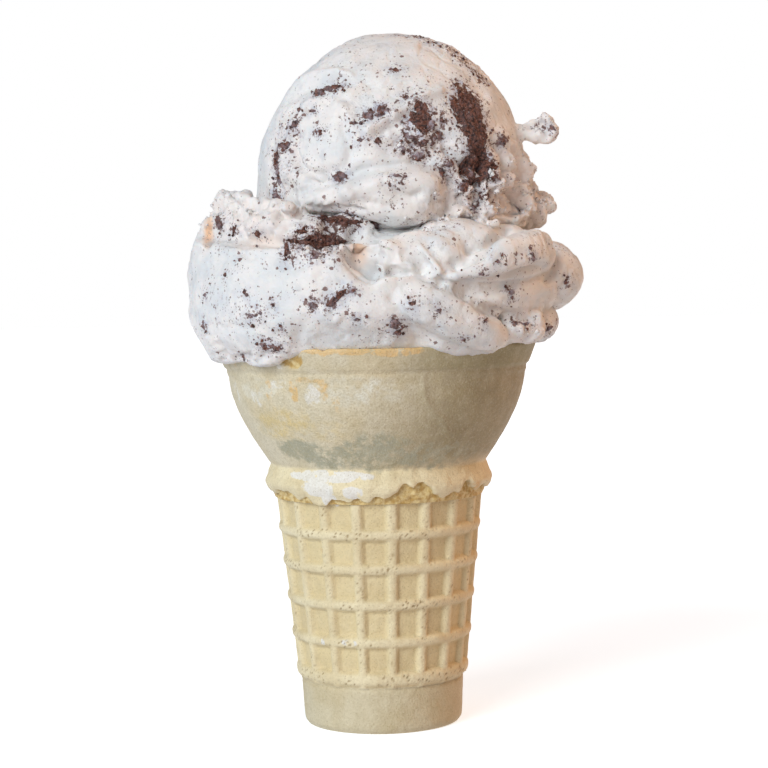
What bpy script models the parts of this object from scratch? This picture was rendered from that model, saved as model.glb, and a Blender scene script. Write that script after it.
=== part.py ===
"""A flat-bottomed wafer cone with two scoops of cookies-and-cream ice cream.

The wafer is a thin-walled moulded cup: a plain foot, a barrel with a waffle grid of ribs, a
collar whose skin is broken away along its lower edge, a round bowl and a flared rim. The lower
scoop fills the cup, spreads over the rim and laps down over it in places. The upper scoop is a
dome that sits on it. Pieces of dark cookie lie in pockets in the ice cream.

Millimetres are used for every dimension here, and the meshes are made in metres. +Z is up, the
origin is the middle of the foot, and the side that faces -Y is the front.
"""

import math

import bpy
import numpy as np

MM = 0.001  # metres in a millimetre
GAP = 0.3  # clearance between a solid and the one that it touches

# ------------------------------------------------------------------ wafer cone
CONE_HEIGHT = 80.0
FOOT_HEIGHT = 9.6
FOOT_RADIUS = 16.6
FOOT_EDGE = 0.6  # small round at the bottom edge
BARREL_LOW = (10.0, 18.0)  # height and radius over the ribs at the barrel's bottom
BARREL_HIGH = (46.0, 21.7)  # and at its top
RIB_COUNT = 18  # upright ribs
RIB_TURN = 7.0  # degrees that one rib stands to the right of the front
RIB_HALF_TOP = 2.6  # degrees
RIB_SLOPE = 2.0  # degrees
RING_COUNT = 5  # level ribs
RING_BASE = 9.9  # lower edge of the lowest level rib
RING_PITCH = 8.1  # from the lowest level rib to the next
RING_PITCH_LOSS = 0.33  # how much each pitch is shorter than the one below
RING_HEIGHT = 2.5
RING_SLOPE = 0.5
CELL_DEPTH = 1.0  # how far the cells lie below the ribs
COLLAR_FOOT = 47.6  # where the barrel's cells end
COLLAR_PEAK = (51.2, 23.9)
COLLAR_SKIN = 0.7  # how far the collar's ragged lower edge lies inside its peak
NECK = (54.9, 22.6)  # the waist between collar and bowl
BOWL_TOP = (73.3, 31.1)
BOWL_STEPS = 4  # rings that draw the bowl's curve
RIM_RADIUS = 33.6
RIM_CHIP = (-119.0, 4.5, 2.4)  # azimuth, half width in degrees, and depth of a chip in the rim
BOWL_WALL = 1.6
BARREL_WALL = 2.5  # from the rib tops to the inside
FLOOR = 3.0  # thickness of the foot's floor

# --------------------------------------------------------------- lower scoop
LOWER_COLUMNS = 60
LOWER_STEPS = 4  # rings from the lap up to the widest line
LOWER_MIDDLE = 92.0  # height where the scoop is widest
PLATEAU = 104.4  # its flat top, which the upper scoop sits on
CREST_INSET = 8.5  # how far the top edge lies inside the widest line
# Compass tables: azimuth in degrees (0 is right, -90 is the front) and a size at it.
LOWER_REACH = ((-180, 38.4), (-135, 39.4), (-90, 38.6), (-45, 40.6), (0, 43.0), (60, 40.0), (120, 38.6))
LOWER_CREST = (
    (-180, 110.5), (-155, 109.0), (-125, 105.0), (-95, 102.0), (-60, 103.4),
    (-25, 103.2), (0, 100.5), (50, 102.6), (90, 103.4), (140, 106.5),
)
# How far the scoop laps down over the rim. At -1 it just covers the rim and at -2 it stays inside.
LOWER_HANG = (
    (-180, 2.6), (-150, 3.4), (-128, 4.0), (-108, -2.0), (-76, -2.0), (-58, 2.2),
    (-40, 2.2), (-15, 0.4), (0, 0.4), (45, 1.6), (90, 2.4), (140, 1.6),
)
RUFFLES = 7  # soft folds around the lower scoop
RUFFLE_DEPTH = 0.7
# Swells and hollows: azimuth, height, half width in degrees, half height, and push outwards.
LOWER_SWELLS = (
    (-97, 99.0, 7, 5.0, -2.6),  # the notch between the left mass and the front folds
    (-78, 99.5, 9, 4.0, -1.6),  # the hollow left by the spoon at the front
    (-62, 87.5, 16, 3.5, 1.2),  # the roll low at the front
    (-40, 98.0, 12, 4.0, 1.4),  # the smooth fold above it
    (-22, 83.5, 14, 3.0, -1.4),  # the undercut below the right lobe
    (150, 90.0, 14, 6.0, 1.2),  # a swell at the back
)

# --------------------------------------------------------------- upper scoop
UPPER_COLUMNS = 44
UPPER_CENTRE = (4.3, 0.0, 111.3)
UPPER_RADIUS = 28.5
UPPER_RISE = 32.9  # from the centre to the top of the dome
SKIRT_FLARE = 0.8  # how far the torn foot of the scoop stands out
UPPER_SWELLS = (
    (-100, 108.5, 24, 3.2, 1.4),  # the smooth lip folded over the front
    (0, 107.5, 16, 4.0, 3.2),  # the crumbling lump low on the right
    (-7, 122.6, 8.0, 3.4, 6.2),  # the curl flicked out on the right
)

# ---------------------------------------------------------------- cookie pieces
# name, host, centre, half sizes along its own axes, and turns about X, Y and Z in degrees.
COOKIES = (
    ("cookie_chunk_dome", "upper_scoop", (19.4, -19.6, 123.5), (3.5, 2.4, 10.0), (-20, 0, 38)),
    ("cookie_chunk_brow", "upper_scoop", (11.8, -23.2, 124.6), (3.7, 2.2, 4.0), (-22, 0, 18)),
    ("cookie_chunk_ledge", "lower_scoop", (-11.2, -34.4, 99.6), (5.6, 3.0, 3.4), (-25, -12, -17)),
    ("cookie_chunk_seam", "lower_scoop", (-6.2, -26.4, 102.9), (6.4, 4.6, 1.4), (0, 0, -12)),
)
COOKIE_COLUMNS = 10
COOKIE_ROWS = 6
COOKIE_SQUARENESS = 0.62  # 1 is an ellipsoid, and less is blockier

# ----------------------------------------------------------------------- colours
WAFER = (0.66, 0.53, 0.33)
CREAM = (0.72, 0.71, 0.72)
COOKIE = (0.10, 0.045, 0.03)


def clear_scene():
    for obj in list(bpy.data.objects):
        bpy.data.objects.remove(obj)


def skin(name, colour, roughness):
    """A Principled material of one colour."""
    made = bpy.data.materials.new(name)
    made.use_nodes = True
    shader = made.node_tree.nodes["Principled BSDF"]
    shader.inputs["Base Color"].default_value = (*colour, 1.0)
    shader.inputs["Roughness"].default_value = roughness
    shader.inputs["Metallic"].default_value = 0.0
    return made


def solid_of_rings(name, rings, first, last, material, smooth_angle=50.0):
    """A closed solid from rings of points. Each ring runs anticlockwise seen from above, and the
    poles first and last close the two ends. Rings that rise face outwards."""
    rows, columns = rings.shape[:2]
    points = np.vstack([rings.reshape(-1, 3), [first], [last]]) * MM
    index = np.arange(rows * columns).reshape(rows, columns)
    beside = np.roll(index, -1, axis=1)
    quads = np.stack([index[:-1], beside[:-1], beside[1:], index[1:]], axis=-1).reshape(-1, 4)
    pole = rows * columns
    low_fan = np.stack([beside[0], index[0], np.full(columns, pole)], axis=-1)
    high_fan = np.stack([index[-1], beside[-1], np.full(columns, pole + 1)], axis=-1)
    mesh = bpy.data.meshes.new(name)
    mesh.from_pydata(points.tolist(), [], [*quads.tolist(), *low_fan.tolist(), *high_fan.tolist()])
    mesh.materials.append(material)
    mesh.shade_smooth()
    mesh.set_sharp_from_angle(angle=math.radians(smooth_angle))
    obj = bpy.data.objects.new(name, mesh)
    bpy.context.scene.collection.objects.link(obj)
    return obj


def around(azimuths, table):
    """The table's value at each azimuth, eased between its entries and joined round the back."""
    at = np.array([row[0] for row in table], float)
    value = np.array([row[1] for row in table], float)
    at = np.concatenate([at, at[:1] + 360.0])
    value = np.concatenate([value, value[:1]])
    turned = (np.asarray(azimuths, float) - at[0]) % 360.0 + at[0]
    upper = np.clip(np.searchsorted(at, turned, side="right"), 1, len(at) - 1)
    share = (turned - at[upper - 1]) / (at[upper] - at[upper - 1])
    eased = share * share * (3.0 - 2.0 * share)
    return value[upper - 1] + (value[upper] - value[upper - 1]) * eased


def turn_between(azimuths, middle):
    """Signed degrees from middle to each azimuth, from -180 to 180."""
    return (np.asarray(azimuths, float) - middle + 180.0) % 360.0 - 180.0


def hump(distance, half_width):
    """A smooth hill: 1 in the middle, and near 0 at twice the half width."""
    return np.exp(-((distance / half_width) ** 2))


def swell_push(azimuths, height, swells):
    """How far outwards the listed swells push the surface at these azimuths and this height."""
    push = np.zeros(len(azimuths))
    for azimuth, level, half_width, half_height, out in swells:
        push += out * hump(turn_between(azimuths, azimuth), half_width) * hump(height - level, half_height)
    return push


# ------------------------------------------------------------------ wafer cone
def barrel_radius(height):
    """Radius over the barrel's ribs: a straight taper."""
    slope = (BARREL_HIGH[1] - BARREL_LOW[1]) / (BARREL_HIGH[0] - BARREL_LOW[0])
    return BARREL_LOW[1] + slope * (height - BARREL_LOW[0])


def bowl_radius(height):
    """The bowl's outside: a quarter sine swing from the neck, with a little straight taper in it,
    then the rim's straight flare."""
    share = np.clip((height - NECK[0]) / (BOWL_TOP[0] - NECK[0]), 0.0, 1.0)
    swell = NECK[1] + (BOWL_TOP[1] - NECK[1]) * (0.8 * np.sin(share * math.pi / 2) + 0.2 * share)
    flare = (RIM_RADIUS - BOWL_TOP[1]) * np.clip((height - BOWL_TOP[0]) / (CONE_HEIGHT - BOWL_TOP[0]), 0, 1)
    return swell + flare


def inner_radius(height):
    """Radius of the cup's inside at any height."""
    low = barrel_radius(height) - BARREL_WALL
    high = bowl_radius(height) - BOWL_WALL
    blend = np.clip((height - BARREL_HIGH[0]) / (NECK[0] - BARREL_HIGH[0]), 0.0, 1.0)
    return low + (high - low) * blend


def ring_edges():
    """Lower edges of the level ribs, from the bottom up."""
    pitches = RING_PITCH - RING_PITCH_LOSS * np.arange(RING_COUNT - 1)
    return RING_BASE + np.concatenate([[0.0], np.cumsum(pitches)])


def rib_columns():
    """Azimuths of the columns, and which of them run up a rib: each rib takes a left and a right
    top edge, and each cell a left and a right bottom edge."""
    pitch = 360.0 / RIB_COUNT
    edge = RIB_HALF_TOP + RIB_SLOPE
    offsets = np.array([-RIB_HALF_TOP, RIB_HALF_TOP, edge, pitch - edge])
    starts = -90.0 + RIB_TURN + pitch * np.arange(RIB_COUNT)
    azimuths = (starts[:, None] + offsets).reshape(-1)
    on_rib = np.tile([1.0, 1.0, 0.0, 0.0], RIB_COUNT)
    return azimuths, on_rib


def collar_break(azimuths):
    """Height of the ragged edge where the collar's skin has broken off: three uneven waves."""
    turn = np.radians(azimuths)
    ragged = np.sin(5 * turn + 0.6) + 0.8 * np.sin(11 * turn + 2.1) + 0.6 * np.sin(17 * turn + 4.0)
    return 49.3 + 0.55 * ragged


def wafer_rings():
    """Rings of the cup, out from the middle of the foot, up the outside and down the inside."""
    azimuths, on_rib = rib_columns()
    flat = np.ones(len(azimuths))
    rings = []

    def add(height, radius):
        turn = np.radians(azimuths)
        radius, height = radius * flat, height * flat
        rings.append(np.stack([radius * np.cos(turn), radius * np.sin(turn), height], axis=-1))

    add(0.0, FOOT_RADIUS - FOOT_EDGE)
    add(FOOT_EDGE, FOOT_RADIUS)
    add(FOOT_HEIGHT, FOOT_RADIUS + 0.5)
    for number, edge in enumerate(ring_edges()):
        if number:  # the lowest level rib stands on the foot, the others on a row of cells
            add(edge - RING_SLOPE, barrel_radius(edge) - CELL_DEPTH * (1 - on_rib))
        add(edge, barrel_radius(edge))
        add(edge + RING_HEIGHT - RING_SLOPE, barrel_radius(edge + RING_HEIGHT))
        add(edge + RING_HEIGHT, barrel_radius(edge + RING_HEIGHT) - CELL_DEPTH * (1 - on_rib))
    add(COLLAR_FOOT, barrel_radius(COLLAR_FOOT) - CELL_DEPTH * (1 - on_rib))
    broken = collar_break(azimuths)
    add(COLLAR_FOOT + 0.3, barrel_radius(COLLAR_FOOT))
    add(broken, COLLAR_PEAK[1] - COLLAR_SKIN)
    add(*COLLAR_PEAK)
    add(*NECK)
    bowl = np.linspace(NECK[0], BOWL_TOP[0], BOWL_STEPS + 1)[1:]
    for height in (*bowl, CONE_HEIGHT - 0.5):
        add(height, bowl_radius(height))
    chip = RIM_CHIP[2] * hump(turn_between(azimuths, RIM_CHIP[0]), RIM_CHIP[1])
    add(CONE_HEIGHT - chip, bowl_radius(CONE_HEIGHT) - 0.4)
    add(CONE_HEIGHT - chip, inner_radius(CONE_HEIGHT) + 0.3)
    for height in (*plug_heights()[::-1], FLOOR):
        add(height, inner_radius(height))
    return np.array(rings)


def plug_heights():
    """Heights at which the cup's inside and the ice cream in it both have a ring."""
    bowl = np.linspace(NECK[0], BOWL_TOP[0], BOWL_STEPS - 1)
    return np.array([BARREL_HIGH[0], *bowl, CONE_HEIGHT - 0.7])


def make_wafer(material):
    return solid_of_rings("wafer_cone", wafer_rings(), (0, 0, 0), (0, 0, FLOOR), material, 35.0)


# ----------------------------------------------------------------- lower scoop
def upper_footprint_limit(x, y, height):
    """Keeps the lower scoop's top at the plateau wherever the upper scoop stands on it."""
    away = np.hypot(x - UPPER_CENTRE[0], y - UPPER_CENTRE[1])
    free = np.clip((away - UPPER_RADIUS - 2.0) / 1.5, 0.0, 1.0)
    return np.minimum(height, PLATEAU + 12.0 * free)


def lower_rings():
    """Rings of the lower scoop: up the inside of the cup, over the rim, down to where it laps over
    it, out and up round the wide mass, and in across the top."""
    azimuths = -180.0 + 360.0 / LOWER_COLUMNS * np.arange(LOWER_COLUMNS)
    turn = np.radians(azimuths)
    hang = around(azimuths, LOWER_HANG)
    laps = np.clip(2.0 + hang, 0.0, 1.0)  # 0 where it stays inside the rim, 1 where it laps over
    reach = around(azimuths, LOWER_REACH) + RUFFLE_DEPTH * np.sin(RUFFLES * turn + 0.8)
    crest = around(azimuths, LOWER_CREST)
    rim_top = CONE_HEIGHT + GAP
    rings = []

    def add(height, radius):
        height = height * np.ones(LOWER_COLUMNS)
        radius = radius + swell_push(azimuths, height, LOWER_SWELLS) * (height > CONE_HEIGHT + 2.0)
        x, y = radius * np.cos(turn), radius * np.sin(turn)
        rings.append(np.stack([x, y, upper_footprint_limit(x, y, height)], axis=-1))

    for height in (FLOOR + GAP, *plug_heights(), rim_top):
        add(height, inner_radius(min(height, CONE_HEIGHT)) - GAP)
    inside = inner_radius(CONE_HEIGHT) + 0.2
    outside = RIM_RADIUS + GAP + 0.2
    add(rim_top, inside + (outside - inside) * laps)
    lap_foot = rim_top - np.maximum(hang, 0.0)
    lap_radius = bowl_radius(lap_foot) + GAP + 0.2
    add(lap_foot + 0.05, inside + 0.1 + (lap_radius - inside) * laps)
    start_radius = inside + 0.3 + (lap_radius + 1.5 - inside) * laps
    add(lap_foot, start_radius)
    for share in np.linspace(0.0, 1.0, LOWER_STEPS + 1)[1:]:
        swell = np.sin(share * math.pi / 2) ** 0.8
        add(lap_foot + (LOWER_MIDDLE - lap_foot) * share, start_radius + (reach - start_radius) * swell)
    crest_radius = reach - CREST_INSET
    for swing in np.radians([22.0, 45.0, 67.0, 90.0]):
        radius = crest_radius + CREST_INSET * math.cos(swing)
        add(LOWER_MIDDLE + (crest - LOWER_MIDDLE) * math.sin(swing), radius)
    add(PLATEAU, crest_radius * 0.82)
    add(PLATEAU, crest_radius * 0.4)
    return np.array(rings)


def make_lower(material):
    return solid_of_rings("lower_scoop", lower_rings(), (0, 0, FLOOR + GAP), (0, 0, PLATEAU), material)


# ----------------------------------------------------------------- upper scoop
def upper_rings():
    """Rings of the upper scoop: a flat underside, a torn skirt that flares a little, and an egg
    shaped dome with bulges pushed out of it."""
    azimuths = -180.0 + 360.0 / UPPER_COLUMNS * np.arange(UPPER_COLUMNS)
    turn = np.radians(azimuths)
    under = PLATEAU + GAP
    rings = []

    def add(height, radius):
        radius = radius + swell_push(azimuths, height, UPPER_SWELLS)
        rings.append(
            np.stack(
                [
                    UPPER_CENTRE[0] + radius * np.cos(turn),
                    UPPER_CENTRE[1] + radius * np.sin(turn),
                    np.full(UPPER_COLUMNS, height),
                ],
                axis=-1,
            )
        )

    skirt = SKIRT_FLARE * np.sin(9 * turn + 1.0) * np.sin(4 * turn)
    add(under, UPPER_RADIUS * 0.5)
    add(under, UPPER_RADIUS - 1.6 + skirt)
    add(under + 1.6, UPPER_RADIUS + SKIRT_FLARE * 0.5 + skirt)
    add(under + 4.2, UPPER_RADIUS + SKIRT_FLARE * 0.4 + 0.5 * skirt)
    for rise in (0.0, 0.14, 0.25, 0.33, 0.41, 0.52, 0.66, 0.8, 0.91, 0.98):
        add(UPPER_CENTRE[2] + UPPER_RISE * rise, UPPER_RADIUS * math.sqrt(1.0 - rise * rise))
    return np.array(rings)


def make_upper(material):
    x, y, z = UPPER_CENTRE
    return solid_of_rings("upper_scoop", upper_rings(), (x, y, PLATEAU + GAP), (x, y, z + UPPER_RISE), material)


# ---------------------------------------------------------------- cookie pieces
def cookie_rings(half_sizes):
    """A blocky lump: an ellipsoid whose sines and cosines are raised to a power under 1, with
    three shallow waves for its broken faces."""
    turn = 2 * math.pi / COOKIE_COLUMNS * np.arange(COOKIE_COLUMNS)
    rings = []
    for swing in np.linspace(-math.pi / 2, math.pi / 2, COOKIE_ROWS + 2)[1:-1]:
        level = math.cos(swing) ** COOKIE_SQUARENESS
        across = np.sign(np.cos(turn)) * np.abs(np.cos(turn)) ** COOKIE_SQUARENESS
        along = np.sign(np.sin(turn)) * np.abs(np.sin(turn)) ** COOKIE_SQUARENESS
        broken = 1.0 + 0.06 * np.sin(3 * turn + 4 * swing)
        up = math.copysign(abs(math.sin(swing)) ** COOKIE_SQUARENESS, math.sin(swing))
        ring = np.stack([level * across * broken, level * along * broken, up * np.ones(len(turn))], axis=-1)
        rings.append(ring * half_sizes)
    return np.array(rings)


def make_cookie(name, centre, half_sizes, turns, material):
    """One cookie piece, placed by its location and rotation."""
    half_sizes = np.array(half_sizes, float)
    tip = (0, 0, half_sizes[2])
    foot = (0, 0, -half_sizes[2])
    piece = solid_of_rings(name, cookie_rings(half_sizes), foot, tip, material, 30.0)
    piece.location = [c * MM for c in centre]
    piece.rotation_euler = [math.radians(t) for t in turns]
    return piece


def make_cookies(hosts, material):
    """Each piece, and the pocket for it: its host loses the same shape grown by the gap."""
    for name, host, centre, half_sizes, turns in COOKIES:
        make_cookie(name, centre, half_sizes, turns, material)
        grown = [size + GAP + 0.1 for size in half_sizes]
        cutter = make_cookie(f"pocket_for_{name}", centre, grown, turns, material)
        cutter.hide_render = True
        cutter.display_type = "WIRE"
        pocket = hosts[host].modifiers.new(f"pocket_{name}", "BOOLEAN")
        pocket.operation = "DIFFERENCE"
        pocket.solver = "EXACT"
        pocket.object = cutter


def main():
    clear_scene()
    make_wafer(skin("wafer", WAFER, 0.75))
    cream = skin("ice_cream", CREAM, 0.45)
    hosts = {"lower_scoop": make_lower(cream), "upper_scoop": make_upper(cream)}
    make_cookies(hosts, skin("cookie", COOKIE, 0.85))


main()
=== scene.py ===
# %% [markdown]
# # An ice cream cone, scooped and set down
#
# The real thing is a moulded wafer cup with a flat foot, filled with two scoops of vanilla ice
# cream that has dark cookie crushed into it. The shapes that carry weight come from the frame,
# which holds plain solids at the right size. This file makes what the eye sees: the waffle grid,
# the torn collar, the folds and crumbs of the cream, and the cookie.
#
# Every shape below is worked out in millimetres and turned to metres at the end, so that a number
# can be checked against a ruler. One millimetre is taken from the frame: the wafer is 80 mm tall.

# %% Load the frame
import math

import bpy
import numpy as np
from mathutils import Matrix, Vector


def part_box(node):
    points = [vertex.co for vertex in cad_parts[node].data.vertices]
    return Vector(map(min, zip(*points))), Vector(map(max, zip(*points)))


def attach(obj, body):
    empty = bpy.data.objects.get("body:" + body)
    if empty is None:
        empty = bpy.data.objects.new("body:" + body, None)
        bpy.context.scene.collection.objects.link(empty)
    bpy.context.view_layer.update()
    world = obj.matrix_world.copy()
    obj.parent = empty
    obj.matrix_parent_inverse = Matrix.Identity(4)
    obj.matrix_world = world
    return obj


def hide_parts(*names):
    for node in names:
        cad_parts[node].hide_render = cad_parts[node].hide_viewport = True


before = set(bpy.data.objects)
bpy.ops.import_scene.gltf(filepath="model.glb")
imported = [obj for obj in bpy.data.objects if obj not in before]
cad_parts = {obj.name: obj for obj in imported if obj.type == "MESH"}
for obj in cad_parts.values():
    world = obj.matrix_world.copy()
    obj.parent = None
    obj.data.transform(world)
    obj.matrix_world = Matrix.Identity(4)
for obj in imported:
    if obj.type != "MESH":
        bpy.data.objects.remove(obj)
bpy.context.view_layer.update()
wafer_low, wafer_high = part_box("wafer_cone")
WAFER_HEIGHT = 80.0
MM = (wafer_high.z - wafer_low.z) / WAFER_HEIGHT
print(f"one millimetre is {MM:.6f} m, and the frame has {len(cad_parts)} nodes")

# %% [markdown]
# ## Helpers for shapes
#
# All the pieces here are food, and food is uneven. Two kinds of noise give that. Value noise is
# smooth and wanders, as a scooped surface does. Cell noise makes round lumps with creases between
# them, as crumbly ice cream does. Both are worked out for a whole array of points at once.

# %% Noise
TWIST = np.linalg.qr(np.random.default_rng(5).normal(size=(3, 3)))[0]


def smooth_noise(points, size, seed):
    """Value noise from -1 to 1: random numbers stand at the corners of cells `size` mm wide, and a
    point takes the mix of its cell's eight corners, eased by 3t^2 - 2t^3."""
    table = np.random.default_rng(seed).uniform(-1.0, 1.0, (40, 40, 40))
    place = points @ TWIST / size + 400.0
    cell = np.floor(place).astype(int)
    share = place - cell
    share = share * share * (3.0 - 2.0 * share)
    total = np.zeros(len(points))
    for corner in np.ndindex(2, 2, 2):
        weight = np.prod(np.where(np.array(corner) == 1, share, 1.0 - share), axis=1)
        at = (cell + corner) % len(table)
        total += weight * table[at[:, 0], at[:, 1], at[:, 2]]
    return total


def layered_noise(points, size, seed, layers=3):
    """Value noise at `size`, half of it, a quarter of it and so on, each half as strong."""
    return sum(smooth_noise(points, size / 2**n, seed + n) / 2**n for n in range(layers))


def cell_noise(points, size, seed):
    """Cell noise from 0 to about 1: one random point lies in each cell `size` mm wide, and the value
    is 1 minus the distance to the nearest of them, in cells. It makes round lumps."""
    table = np.random.default_rng(seed).uniform(0.0, 1.0, (24, 24, 24, 3))
    place = points @ TWIST / size + 240.0
    cell = np.floor(place).astype(int)
    nearest = np.full(len(points), 4.0)
    for step in np.ndindex(3, 3, 3):
        near_cell = cell + np.array(step) - 1
        at = near_cell % len(table)
        spot = near_cell + table[at[:, 0], at[:, 1], at[:, 2]]
        nearest = np.minimum(nearest, ((place - spot) ** 2).sum(axis=1))
    return 1.0 - np.sqrt(nearest)


# %% Curves and bumps
def eased(share):
    """0 below 0, 1 above 1, and 3t^2 - 2t^3 between."""
    share = np.clip(share, 0.0, 1.0)
    return share * share * (3.0 - 2.0 * share)


def around(azimuths, table):
    """The table's value at each azimuth in degrees, eased between its rows and joined at the back.
    Azimuth 0 is to the right and -90 is the front."""
    at = np.array([row[0] for row in table], float)
    value = np.array([row[1] for row in table], float)
    at = np.append(at, at[0] + 360.0)
    value = np.append(value, value[0])
    turned = (np.asarray(azimuths, float) - at[0]) % 360.0 + at[0]
    upper = np.clip(np.searchsorted(at, turned, side="right"), 1, len(at) - 1)
    share = eased((turned - at[upper - 1]) / (at[upper] - at[upper - 1]))
    return value[upper - 1] + (value[upper] - value[upper - 1]) * share


def along(keys, steps):
    """A smooth curve through rows of numbers (Catmull-Rom): each stretch between two rows is a cubic
    whose slope at a row is half the difference between that row's neighbours."""
    keys = np.asarray(keys, float)
    padded = np.concatenate([2 * keys[:1] - keys[1:2], keys, 2 * keys[-1:] - keys[-2:-1]])
    places = np.linspace(0.0, len(keys) - 1.0, steps)
    first = np.clip(places.astype(int), 0, len(keys) - 2)
    t = (places - first).reshape((-1,) + (1,) * (keys.ndim - 1))
    a, b, c, d = (padded[first + n] for n in range(4))
    return b + 0.5 * t * (c - a + t * (2 * a - 5 * b + 4 * c - d + t * (3 * (b - c) + d - a)))


def hump(distance, half_width):
    """A smooth hill: exp(-(d / w)^2), which is 1 in the middle and small at twice the half width."""
    return np.exp(-((distance / half_width) ** 2))


def turn_between(azimuths, middle):
    """Signed degrees from middle to each azimuth, from -180 to 180."""
    return (np.asarray(azimuths, float) - middle + 180.0) % 360.0 - 180.0


# %% Meshes from arrays
def closed_surface(rings):
    """Points and faces of a closed surface. Rings of points run anticlockwise seen from above while
    the rows rise, and the mean of the end rings closes each end with a fan."""
    rows, columns = rings.shape[:2]
    points = np.vstack([rings.reshape(-1, 3), rings[0].mean(axis=0), rings[-1].mean(axis=0)])
    index = np.arange(rows * columns).reshape(rows, columns)
    beside = np.roll(index, -1, axis=1)
    quads = np.stack([index[:-1], beside[:-1], beside[1:], index[1:]], axis=-1).reshape(-1, 4)
    pole = np.full(columns, rows * columns)
    low_fan = np.stack([beside[0], index[0], pole], axis=-1)
    high_fan = np.stack([index[-1], beside[-1], pole + 1], axis=-1)
    return points, quads, np.vstack([low_fan, high_fan])


def joined(surfaces):
    """One set of points and faces from several."""
    starts = np.cumsum([0] + [len(surface[0]) for surface in surfaces[:-1]])
    points = np.vstack([surface[0] for surface in surfaces])
    quads = np.vstack([surface[1] + start for surface, start in zip(surfaces, starts)])
    triangles = np.vstack([surface[2] + start for surface, start in zip(surfaces, starts)])
    return points, quads, triangles


def new_mesh(name, points, quads, triangles=()):
    mesh = bpy.data.meshes.new(name)
    faces = [*np.asarray(quads).tolist(), *np.asarray(triangles).tolist()]
    mesh.from_pydata(np.asarray(points).tolist(), [], faces)
    mesh.shade_smooth()
    return mesh


def make_piece(name, node, surface, material, marks=None):
    """A finished piece: the mesh in metres, its per-point marks for the material, and the node of
    the frame that it stands for. Small trim stands for none."""
    points, quads, triangles = surface
    mesh = new_mesh(name, points * MM, quads, triangles)
    for mark, values in (marks or {}).items():
        mesh.attributes.new(mark, "FLOAT", "POINT").data.foreach_set("value", values.astype(np.float32))
    mesh.materials.append(material)
    piece = bpy.data.objects.new(name, mesh)
    bpy.context.scene.collection.objects.link(piece)
    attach(piece, "root")
    if node:
        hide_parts(node)
    print(f"{name}: {2 * len(quads) + len(triangles)} triangles")
    return piece


# %% Normals, and smoothing
def point_normals(points, quads):
    """The normal of each point: the sum of its faces' diagonal cross products, made one long."""
    across = points[quads[:, 2]] - points[quads[:, 0]]
    over = points[quads[:, 3]] - points[quads[:, 1]]
    face = np.cross(across, over)
    corner = quads.reshape(-1)
    total = [np.bincount(corner, np.repeat(face[:, k], 4), len(points)) for k in range(3)]
    total = np.stack(total, axis=1)
    return total / np.maximum(np.linalg.norm(total, axis=1, keepdims=True), 1e-12)


def relaxed(points, quads, rounds, strength=0.5):
    """Laplacian smoothing: each round moves a point part of the way to the mean of its neighbours."""
    start = quads.reshape(-1)
    end = np.roll(quads, -1, axis=1).reshape(-1)
    count = np.bincount(start, minlength=len(points))[:, None]
    for _ in range(rounds):
        total = [np.bincount(start, points[end, k], len(points)) for k in range(3)]
        points = points + strength * (np.stack(total, axis=1) / count - points)
    return points


# %% [markdown]
# ## Melting shapes together
#
# A scoop isn't one smooth form: it is rolled up from sheets and lumps that freeze together. So
# each scoop is built as a heap of simple closed shapes that overlap, such as a dome, a wall, rolls
# and lumps, and a voxel remesh then takes their common skin. Sculpting by hand would do as well, but
# it couldn't be repeated or changed by a number. The skin is smoothed, which rounds the creases
# where shapes meet, and noise is then pushed into it along its normals.

# %% Simple closed shapes
def lumps(centres, sizes, tilt=0.0):
    """Many ellipsoids at once: the unit sphere's points (cos a cos b, cos a sin b, sin a) times each
    lump's half sizes, turned by `tilt` degrees about Y, plus its centre."""
    centres = np.atleast_2d(np.asarray(centres, float))
    sizes = np.broadcast_to(np.asarray(sizes, float).reshape(len(centres), -1), (len(centres), 3))
    a = np.radians(np.linspace(-80.0, 80.0, 11))[:, None]
    b = np.radians(np.arange(0.0, 360.0, 20.0))[None, :]
    unit = np.stack([np.cos(a) * np.cos(b), np.cos(a) * np.sin(b), np.sin(a) + 0 * b], axis=-1)
    t = math.radians(tilt)
    turn = np.array([[math.cos(t), 0, math.sin(t)], [0, 1, 0], [-math.sin(t), 0, math.cos(t)]])
    return [closed_surface((unit * size) @ turn.T + centre) for centre, size in zip(centres, sizes)]


def roll(keys, squareness=2.0, steps=40, sides=28):
    """A tube carried along a smooth path. Each key row is x, y, z, half height and half depth. The
    section's depth points away from the cone's axis, its height is square to depth and path, and
    its outline is |d|^n + |h|^n = 1. The ends are rounded over a sixth of the path."""
    at = (1.0 - np.cos(np.linspace(0.0, math.pi, steps))) / 2.0
    fine = along(keys, 400)
    rows = np.stack([np.interp(at, np.linspace(0.0, 1.0, 400), column) for column in fine.T], axis=1)
    path, high, deep = rows[:, :3], rows[:, 3], rows[:, 4]
    heading = np.gradient(path, at, axis=0)
    heading /= np.linalg.norm(heading, axis=1, keepdims=True)
    outward = path * [1.0, 1.0, 0.0]
    outward -= heading * (outward * heading).sum(axis=1, keepdims=True)
    outward /= np.linalg.norm(outward, axis=1, keepdims=True)
    upward = np.cross(heading, outward)
    end = np.minimum(at, 1.0 - at) * 6.0
    blunt = np.sqrt(np.clip(1.0 - (1.0 - np.minimum(end, 1.0)) ** 2, 0.0004, 1.0))
    angle = np.linspace(0.0, 2 * math.pi, sides, endpoint=False)
    power = 2.0 / squareness
    d = np.sign(np.cos(angle)) * np.abs(np.cos(angle)) ** power
    h = np.sign(np.sin(angle)) * np.abs(np.sin(angle)) ** power
    section = d[None, :, None] * (outward * deep[:, None])[:, None, :]
    section = section + h[None, :, None] * (upward * high[:, None])[:, None, :]
    return closed_surface(path[:, None, :] + section * blunt[:, None, None])


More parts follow.
